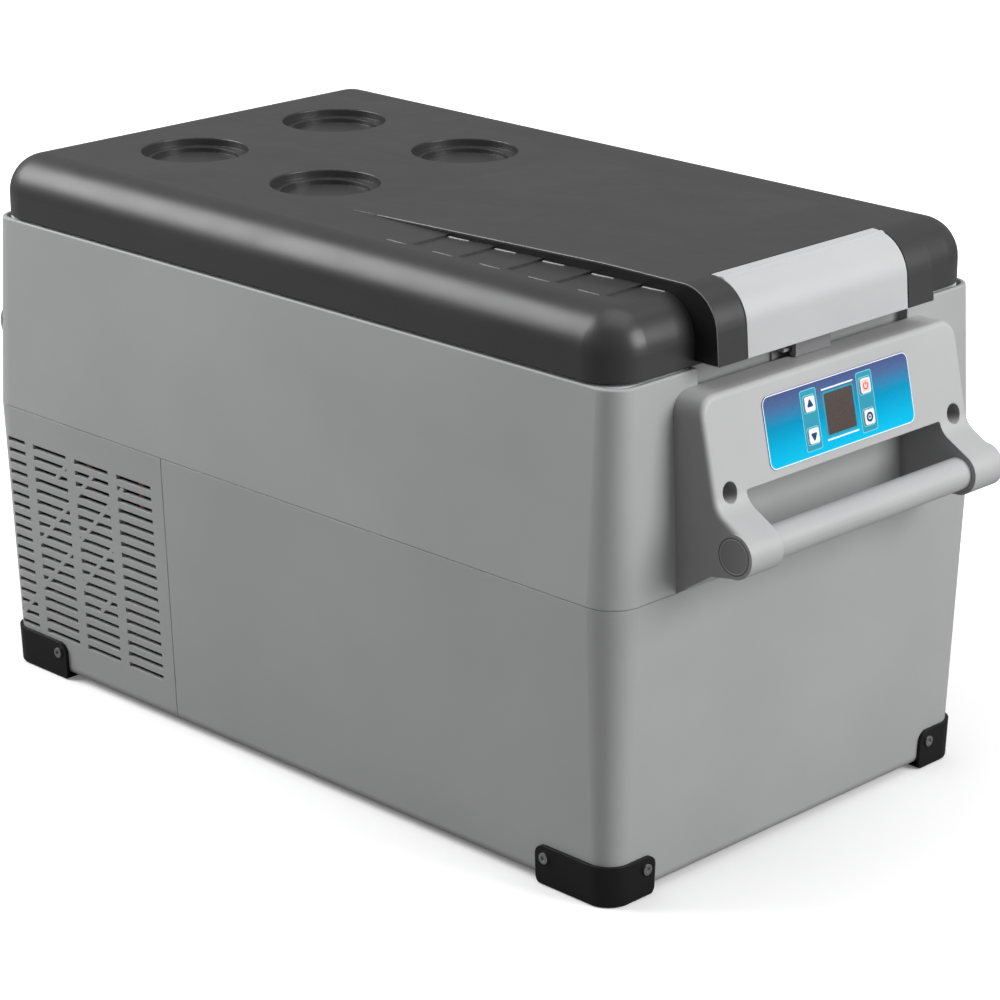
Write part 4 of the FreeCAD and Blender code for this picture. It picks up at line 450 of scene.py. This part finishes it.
INK_WHITE = ink("ink_white", (0.80, 0.86, 0.90))
INK_TEAL = ink("ink_teal", (0.030, 0.29, 0.40))
INK_PALE = ink("ink_pale", (0.16, 0.60, 0.72))
INK_NAVY = ink("ink_navy", (0.012, 0.05, 0.15))
INK_RED = ink("ink_red", (0.72, 0.06, 0.05))
INK_PINK = ink("ink_pink", (0.86, 0.60, 0.58))
print("inks ready")

# %% [markdown]
# ## Dress the CAD nodes
#
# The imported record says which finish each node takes. The nodes keep their meshes, and only their
# material slots change.

# %% Dress the nodes
for part in frame["record"]["subparts"]:
    for slot in NODES[part["node"]].material_slots:
        slot.material = FINISHES[part["material_slot"]]

# %% [markdown]
# ## Mesh helpers
#
# Printed and moulded details are closed outlines pushed out a little from a surface. A stamp takes an
# outline in panel axes and gives it thickness. An outline with a hole is a band between two loops.


# %% Mesh helpers
def rounded(half_x, half_y, radius, centre=(0.0, 0.0), steps=6):
    """Corner points of a rounded rectangle, anticlockwise."""
    points = []
    for quarter, (sx, sy) in enumerate(((1, 1), (-1, 1), (-1, -1), (1, -1))):
        for step in range(steps + 1):
            angle = math.pi / 2 * (quarter + step / steps)
            points.append((centre[0] + sx * (half_x - radius) + radius * math.cos(angle),
                           centre[1] + sy * (half_y - radius) + radius * math.sin(angle)))
    return points


def new_piece(name, bm, material, body, smooth=False):
    """Finish a bmesh as an object that rides on a body and takes a slot's finish."""
    bmesh.ops.recalc_face_normals(bm, faces=bm.faces)
    mesh = bpy.data.meshes.new(name)
    bm.to_mesh(mesh)
    bm.free()
    if smooth:
        mesh.shade_smooth()
    piece = bpy.data.objects.new(name, mesh)
    piece.data.materials.append(material)
    bpy.context.scene.collection.objects.link(piece)
    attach(piece, body)
    return piece


def stamp(bm, outer, inner, base, thick):
    """Raise an outline from the panel; inner, if given, is a loop of as many points that stays open."""
    def at(point, out):
        return bm.verts.new(ACROSS * point[0] + UP * (middle_up + point[1]) + OUT * (base + out))

    sunk, count = -0.02 * MM, len(outer)
    bottom, top = ([at(point, out) for point in outer] for out in (sunk, thick))
    for i in range(count):
        j = (i + 1) % count
        bm.faces.new((bottom[i], bottom[j], top[j], top[i]))
    if inner is None:
        bm.faces.new(top)
        bm.faces.new(bottom[::-1])
        return
    low_in, top_in = ([at(point, out) for point in inner] for out in (sunk, thick))
    for i in range(count):
        j = (i + 1) % count
        bm.faces.new((low_in[j], low_in[i], top_in[i], top_in[j]))
        bm.faces.new((top[i], top[j], top_in[j], top_in[i]))
        bm.faces.new((bottom[j], bottom[i], low_in[i], low_in[j]))


def printed(name, shapes, material, base=STICKER_FACE, thick=0.05 * MM, body="cabinet"):
    """One piece made of several stamped shapes, each (outer, inner)."""
    bm = bmesh.new()
    for outer, inner in shapes:
        stamp(bm, outer, inner, base, thick)
    return new_piece(name, bm, material, body)


# %% [markdown]
# ## The sticker's print
#
# A white hairline runs round the film. Behind each pair of keys stands a teal column with a pale
# outline, and the display has a teal frame between two short white lines. All are thin stamps on the
# film's face.

# %% Sticker print
BORDER, FILM_MARGIN = 0.55 * MM, 0.2 * MM
BORDER_CORNER, BORDER_INNER_CORNER = 4.8 * MM, 4.3 * MM
edge_x, edge_y = STICKER_HALF_X - FILM_MARGIN, STICKER_HALF_Y - FILM_MARGIN
printed("sticker_border", [(rounded(edge_x, edge_y, BORDER_CORNER),
                            rounded(edge_x - BORDER, edge_y - BORDER, BORDER_INNER_CORNER))], INK_WHITE)


def panel_spot(node):
    """Middle of a node on the panel: how far across, and how far up from the sticker's middle."""
    low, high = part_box(node)
    middle = (low + high) / 2
    return ACROSS.dot(middle), UP.dot(middle) - middle_up


KEYS = {name: panel_spot(name + "_button") for name in ("up", "down", "power", "set")}
KEY_HALF = half_span("up_button", ACROSS)
COLUMN_BESIDE, COLUMN_BEYOND = 2.6 * MM, 4.0 * MM
COLUMN_CORNER, BLOCK_CORNER, OUTLINE = 1.6 * MM, 1.2 * MM, 0.5 * MM
HOLE_REACH, HOLE_CORNER = KEY_HALF + 0.35 * MM, 1.5 * MM
RING_REACH, RING_CORNER = KEY_HALF + 0.85 * MM, 1.8 * MM
column_half_x, column_half_y = KEY_HALF + COLUMN_BESIDE, KEYS["up"][1] + KEY_HALF + COLUMN_BEYOND
block_half_x, block_half_y = column_half_x - OUTLINE, column_half_y / 2 - OUTLINE / 2
outlines, columns = [], []
for across in (KEYS["up"][0], KEYS["power"][0]):
    frame_loop = rounded(column_half_x, column_half_y, COLUMN_CORNER, (across, 0.0))
    inside = rounded(column_half_x - OUTLINE, column_half_y - OUTLINE, BLOCK_CORNER, (across, 0.0))
    outlines.append((frame_loop, inside))
    for up in (KEYS["up"][1], KEYS["down"][1]):
        hole = rounded(HOLE_REACH, HOLE_REACH, HOLE_CORNER, (across, up))
        ring = rounded(RING_REACH, RING_REACH, RING_CORNER, (across, up))
        outlines.append((ring, hole))
        sign = 1 if up > 0 else -1
        block = rounded(block_half_x, block_half_y, BLOCK_CORNER, (across, sign * block_half_y))
        columns.append((block, ring))
printed("sticker_columns", columns, INK_TEAL, thick=0.03 * MM)
printed("sticker_outlines", outlines, INK_PALE)
screen_x, screen_y = half_span("display_module", ACROSS), half_span("display_module", UP)
LINE_OFF, LINE_OVER, LINE_HALF, LINE_CORNER = 2.6 * MM, 1.6 * MM, 0.45 * MM, 0.3 * MM
lines = [(rounded(screen_x + LINE_OVER, LINE_HALF, LINE_CORNER, (0.0, side * (screen_y + LINE_OFF))), None)
         for side in (-1, 1)]
printed("display_lines", lines, INK_WHITE)
SCREEN_GAP, SCREEN_CORNER = 0.15 * MM, 0.8 * MM
FRAME_BESIDE, FRAME_BEYOND, FRAME_CORNER = 1.5 * MM, 1.2 * MM, 1.6 * MM
printed("display_frame", [(rounded(screen_x + FRAME_BESIDE, screen_y + FRAME_BEYOND, FRAME_CORNER),
                           rounded(screen_x + SCREEN_GAP, screen_y + SCREEN_GAP, SCREEN_CORNER))], INK_TEAL)
print("sticker print on", len(columns), "column blocks")

# %% [markdown]
# ## Key symbols
#
# Each symbol is stamped on its own key and rides on that key's body, so it goes in with the key. Up and
# down are triangles with eased corners, power is the usual broken ring with a bar over a pink tint, and
# the last key has a ring round a dot.


# %% Key symbols
def around(centre, reach, angle):
    """Point at a distance and an angle from a centre."""
    return centre[0] + reach * math.cos(angle), centre[1] + reach * math.sin(angle)


def triangle(size, centre, points_up, ease=0.22, drawn_in=0.93):
    """Triangle whose corners are eased: three points each, the outer two turned aside and drawn in."""
    first = math.pi / 2 if points_up else -math.pi / 2
    corners = []
    for index in range(3):
        angle = first + index * 2 * math.pi / 3
        for turn, share in ((-ease, drawn_in), (0.0, 1.0), (ease, drawn_in)):
            corners.append(around(centre, size * share, angle + turn))
    return corners


def arc_band(radius, width, start, stop, centre, steps=28):
    """Closed outline of a bent strip, from one angle to another."""
    turns = [start + (stop - start) * step / steps for step in range(steps + 1)]
    outer = [around(centre, radius + width / 2, turn) for turn in turns]
    inner = [around(centre, radius - width / 2, turn) for turn in reversed(turns)]
    return outer + inner


def circle(radius, centre, steps=28):
    return [around(centre, radius, 2 * math.pi * i / steps) for i in range(steps)]


def key_print(name, key, shapes, material, thick=0.06 * MM):
    printed(name, shapes, material, front_of(key + "_button"), thick, key + "_key")


TRIANGLE_REACH = 2.6 * MM
for key, points_up in (("up", True), ("down", False)):
    key_print(key + "_symbol", key, [(triangle(TRIANGLE_REACH, KEYS[key], points_up), None)], INK_NAVY)

spot = KEYS["power"]
TINT_HALF, TINT_CORNER = KEY_HALF - 0.9 * MM, 0.8 * MM
POWER_RADIUS, POWER_WIDTH = 1.9 * MM, 0.75 * MM
POWER_START, POWER_STOP = math.radians(125), math.radians(415)
BAR_HALF_X, BAR_HALF_Y, BAR_CORNER, BAR_UP = 0.38 * MM, 1.15 * MM, 0.3 * MM, 1.5 * MM
key_print("power_tint", "power", [(rounded(TINT_HALF, TINT_HALF, TINT_CORNER, spot), None)],
          INK_PINK, 0.02 * MM)
key_print("power_symbol", "power",
          [(arc_band(POWER_RADIUS, POWER_WIDTH, POWER_START, POWER_STOP, spot), None),
           (rounded(BAR_HALF_X, BAR_HALF_Y, BAR_CORNER, (spot[0], spot[1] + BAR_UP)), None)], INK_RED)

spot = KEYS["set"]
SET_OUTER, SET_INNER, SET_DOT = 2.8 * MM, 1.45 * MM, 0.75 * MM
key_print("set_symbol", "set", [(circle(SET_OUTER, spot), circle(SET_INNER, spot)),
                                (circle(SET_DOT, spot), None)], INK_NAVY)
print("symbols on", len(KEYS), "keys")

# %% [markdown]
# ## Small ribs beside the band
#
# Each step of the stepped strip carries two short moulded ribs, one at the foot of the raised band and
# one at the strip's outer edge. They are paler than the lid: their colour is a painted highlight, standing
# for the short bright dashes that light draws on the steps' edges, the outer ones dimmer. They follow the
# lid, so rays dropped on the lid's mesh give their height. A rib is a ball pulled out lengthwise and
# pressed flat, which leaves round ends.

# %% Ribs beside the band
lid_mesh = bmesh.new()
lid_mesh.from_mesh(NODES["lid_shell"].data)
LID = BVHTree.FromBMesh(lid_mesh)
lid_mesh.free()
lid_low, lid_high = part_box("lid_shell")
SKY = lid_high.z + 0.1
STRAIGHT_DOWN = Vector((0, 0, -1))


def on_lid(x, y):
    """Point of the lid's outside above a place."""
    return LID.ray_cast(Vector((x, y, SKY)), STRAIGHT_DOWN)[0]


def rib(bm, start, end, width, proud):
    """Half-sunk bar with round ends between two points."""
    made = bmesh.ops.create_uvsphere(bm, u_segments=16, v_segments=8, radius=1.0)["verts"]
    along = end - start
    side = along.cross(Vector((0, 0, 1))).normalized()
    up = side.cross(along).normalized()
    half, way = along.length / 2, along.normalized()
    for vertex in made:
        x, y, z = vertex.co
        shift = math.copysign(half - width / 2, x) if abs(x) > 1e-4 else 0.0
        vertex.co = (start + end) / 2 + way * (shift + x * width / 2) + side * y * width / 2 + up * z * proud


FIRST_STEP, STEP_PITCH, STEPS = lid_high.x - 205.0 * MM, 37.25 * MM, 5
RIB_LONG, INNER_GAP, OUTER_GAP = 17.0 * MM, 1.0 * MM, 1.5 * MM
INNER_Y, OUTER_Y = -93.5 * MM, -124.5 * MM
bm_inner, bm_outer = bmesh.new(), bmesh.new()
for step in range(STEPS):
    riser = FIRST_STEP + step * STEP_PITCH
    start, end = (on_lid(riser + reach, INNER_Y) for reach in (INNER_GAP, INNER_GAP + RIB_LONG))
    rib(bm_inner, start, end, width=1.5 * MM, proud=0.5 * MM)
    start, end = (on_lid(riser - reach, OUTER_Y) for reach in (RIB_LONG, OUTER_GAP))
    rib(bm_outer, start, end, width=1.3 * MM, proud=0.35 * MM)
# Both rib colours are painted highlights, paler than the lid, the outer ones dimmer.
rib_painted_highlight = finish("rib_painted_highlight", (0.30, 0.30, 0.305), 0.35, wear_and_highlight=0.2, radius=0.3)
rib_dim_painted_highlight = finish("rib_dim_painted_highlight", (0.13, 0.13, 0.133), 0.36, wear_and_highlight=0.2, radius=0.3)
new_piece("band_ribs", bm_inner, rib_painted_highlight, "lid", smooth=True)
new_piece("strip_ribs", bm_outer, rib_dim_painted_highlight, "lid", smooth=True)
print(2 * STEPS, "ribs")

# %% [markdown]
# ## Painted shade and highlight on the band's sides
#
# Each upright side of the raised band wears a thin black plate, which is painted shade: it stands for the
# deep shadow on that side wall. A pale bead runs along the edge above it, and its pale colour is a painted
# highlight on that edge. Rays find both outlines: one cast just inside the band's side meets the band, one
# cast just outside meets the lid beside it. Over the top the rays drop straight down, round the lid's
# shoulder they fan out from the shoulder's centre, and below it they come in level.

# %% Painted shade and highlight on the band's sides
BAND_HALF = 92.0 * MM
SHOULDER = Vector((lid_high.x - 42.0 * MM, 0.0, lid_high.z - 30.5 * MM))
TRIM_START, BAND_FOOT = 20.0 * MM, lid_low.z + 3.1 * MM
TOP_RAYS, FAN_RAYS, FRONT_RAYS = 24, 18, 6
STAND_OFF = 0.12
JUST_INSIDE, JUST_OUTSIDE = BAND_HALF - 1.2 * MM, BAND_HALF + 0.7 * MM


def sight_lines():
    """Origins and directions of the rays, from the rear of the band over the top and down the front."""
    lines = []
    for step in range(TOP_RAYS):
        x = TRIM_START + (SHOULDER.x - TRIM_START) * step / TOP_RAYS
        lines.append((Vector((x, 0, SKY)), STRAIGHT_DOWN))
    for step in range(FAN_RAYS + 1):
        angle = math.pi / 2 * (1 - step / FAN_RAYS)
        outward = Vector((math.cos(angle), 0, math.sin(angle)))
        lines.append((SHOULDER + outward * STAND_OFF, -outward))
    depth = SHOULDER.z - BAND_FOOT
    for step in range(1, FRONT_RAYS + 1):
        lines.append((SHOULDER + Vector((STAND_OFF, 0, -depth * step / FRONT_RAYS)), Vector((-1, 0, 0))))
    return lines


def seen_at(origin, direction, y):
    return LID.ray_cast(origin + Vector((0, y, 0)), direction)[0]


def loft(bm, loops, closed=False):
    """Skin over loops of as many points each; one that isn't closed gets a face at either end."""
    following = loops[1:] + loops[:1] if closed else loops[1:]
    for before, after in zip(loops, following):
        for i in range(len(before)):
            j = (i + 1) % len(before)
            bm.faces.new((before[i], before[j], after[j], after[i]))
    if not closed:
        bm.faces.new(loops[0])
        bm.faces.new(loops[-1][::-1])


def shade_plate(bm, side, edge=1.3 * MM, clear=0.15 * MM, proud=0.2 * MM, sunk=0.05 * MM):
    """Thin plate, which paints the shade on the band's side wall, between the lid's outline and the band's, set in
    a little from the band's edge.

    Where the band is too low for a plate, the two outlines would cross, and a sliver stays instead.
    """
    loops = []
    for origin, direction in sight_lines():
        outer = seen_at(origin, direction, side * JUST_INSIDE) + direction * edge
        inner = seen_at(origin, direction, side * JUST_OUTSIDE) - direction * clear
        if (outer - inner).dot(direction) > 0:
            outer = inner - direction * sunk
        loops.append([bm.verts.new((point.x, side * (BAND_HALF + out), point.z))
                      for point, out in ((inner, -sunk), (inner, proud), (outer, proud), (outer, -sunk))])
    loft(bm, loops)


def bead(bm, side, radius=0.42 * MM, sides=8, inward=0.12 * MM, below=0.05 * MM):
    """Thin round bead along the band's upper edge, sunk so that it only stands out sideways; its pale colour is a
    painted highlight.
    """
    loops = []
    for origin, direction in sight_lines():
        met = seen_at(origin, direction, side * JUST_INSIDE)
        edge = Vector((met.x, side * (BAND_HALF - inward), met.z))
        centre = edge + direction * (radius + below)
        loops.append([bm.verts.new(centre + (ACROSS * math.cos(turn) - direction * math.sin(turn)) * radius)
                      for turn in (2 * math.pi * i / sides for i in range(sides))])
    loft(bm, loops)


bm_shade_plate, bm_bead = bmesh.new(), bmesh.new()
for side in (-1, 1):
    shade_plate(bm_shade_plate, side)
    bead(bm_bead, side)
# The black plate's colour is painted shade for the shadow on the band's sides, and the bead's pale colour is a
# painted highlight along the band's edge.
painted_shade_black = finish("painted_shade_black", (0.007, 0.007, 0.0075), 0.40, wear_and_highlight=0.1, dust=0.0, radius=0.2, specular=0.3)
bead_painted_highlight = finish("bead_painted_highlight", (0.22, 0.22, 0.225), 0.36, wear_and_highlight=0.2, dust=0.0, radius=0.1)
new_piece("band_side_painted_shade", bm_shade_plate, painted_shade_black, "lid")
new_piece("band_bead", bm_bead, bead_painted_highlight, "lid", smooth=True)
print("trim on both sides of the band")

# %% [markdown]
# ## Rims on the grip bars' end caps
#
# Each round cap has a fine raised rim, and a dark joint shows between the cap and its loop. Both are
# rings sunk into the flat face, so that only a sliver stands proud.


# %% End cap rims
def face_ring(bm, centre, radius, thick, segments=48, sides=8):
    """Ring about the Y axis."""
    loops = []
    for i in range(segments):
        angle = 2 * math.pi * i / segments
        out = Vector((math.cos(angle), 0, math.sin(angle)))
        loops.append([bm.verts.new(centre + out * (radius + thick * math.cos(turn))
                                   + Vector((0, thick * math.sin(turn), 0)))
                      for turn in (2 * math.pi * j / sides for j in range(sides))])
    loft(bm, loops, closed=True)


RIM_INSET, RIM_THICK, JOINT_THICK = 0.9 * MM, 0.28 * MM, 0.16 * MM
bm_rims, bm_joints = bmesh.new(), bmesh.new()
for handle_end in ("front", "rear"):
    low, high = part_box(handle_end + "_handle_caps")
    middle = (low + high) / 2
    cap_radius = (high.z - low.z) / 2
    for face in (low.y, high.y):
        centre = Vector((middle.x, face, middle.z))
        face_ring(bm_rims, centre, cap_radius - RIM_INSET, RIM_THICK)
        face_ring(bm_joints, centre, cap_radius, JOINT_THICK)
rim_pale = finish("rim_pale", (0.34, 0.34, 0.345), 0.36, wear_and_highlight=0.2, radius=0.1)
joint_dark = finish("joint_dark", (0.02, 0.02, 0.021), 0.5, wear_and_highlight=0.0, dust=0.0, radius=0.1)
new_piece("cap_rims", bm_rims, rim_pale, "cabinet", smooth=True)
new_piece("cap_joints", bm_joints, joint_dark, "cabinet", smooth=True)
print("rims on the end caps")

# %% [markdown]
# ## Floor, light and background
#
# The cooler stands on a plain pale floor. The camera sees it nearly white, with a faint glow that grows
# with distance where the lamps fall off. For bounced light it is darker, as if the cooler stood on a
# small sheet in a dim room: the lower walls stay grey instead of being filled from below. One wide soft
# light hangs overhead, one stands beyond the panel end and brightens it, and one behind the far end
# draws the long soft highlight along the lid's rounded edge. The world fills the shadows.

# %% Floor
GLOW_FROM, GLOW_TO = (0.35, 0.12), (1.3, 0.75)
bm = bmesh.new()
bmesh.ops.create_grid(bm, x_segments=8, y_segments=8, size=14.0)
mesh = bpy.data.meshes.new("floor")
bm.to_mesh(mesh)
bm.free()
floor = bpy.data.objects.new("floor", mesh)
floor.location.z = cad_box[0].z
bpy.context.scene.collection.objects.link(floor)
pale, tree, shader, where = shader_of("pale_floor")
clouds = add(tree, "TexNoise", Vector=where, Scale=1.5, Detail=2.0).outputs["Fac"]
plain = mix(tree, clouds, (0.90, 0.90, 0.90), (0.93, 0.93, 0.93))
seen = add(tree, "LightPath").outputs["Is Camera Ray"]
connect(tree, shader.inputs["Base Color"], mix(tree, seen, (0.24, 0.24, 0.24), plain))
away = add(tree, "VectorMath", {"operation": "LENGTH"})
connect(tree, away.inputs[0], where)
(near, weak), (far, strong) = GLOW_FROM, GLOW_TO
glow = remap(tree, away.outputs["Value"], near, far, weak, strong)
connect(tree, shader.inputs["Emission Color"], (1.0, 1.0, 1.0, 1.0))
connect(tree, shader.inputs["Emission Strength"], maths(tree, "MULTIPLY", seen, glow))
shader.inputs["Roughness"].default_value = 0.9
floor.data.materials.append(pale)
print("floor at", floor.location.z)


# %% Lights
def softbox(name, towards, distance, size, watts, target=(0.0, 0.0, 0.17)):
    """Square area light in a direction from the target, facing it."""
    lamp = bpy.data.lights.new(name, "AREA")
    lamp.size, lamp.energy = size, watts
    light = bpy.data.objects.new(name, lamp)
    towards = Vector(towards).normalized()
    light.location = Vector(target) + towards * distance
    light.rotation_euler = towards.to_track_quat("Z", "Y").to_euler()
    bpy.context.scene.collection.objects.link(light)


softbox("overhead_softbox", (0.15, 0.1, 1.0), 2.6, 2.4, 30.0)
softbox("panel_end_softbox", (1.0, 0.35, 0.45), 2.4, 1.2, 44.0)
softbox("far_end_softbox", (-0.66, -0.45, 0.60), 2.2, 1.4, 48.0)

world = bpy.data.worlds.new("studio")
bpy.context.scene.world = world
world.use_nodes = True
tree = world.node_tree
backdrop = tree.nodes["Background"]
backdrop.inputs["Color"].default_value = (1.0, 1.0, 1.0, 1.0)
seen = add(tree, "LightPath").outputs["Is Camera Ray"]
connect(tree, backdrop.inputs["Strength"], remap(tree, seen, 0.0, 1.0, 0.30, 1.0))
print("three softboxes and a white room")
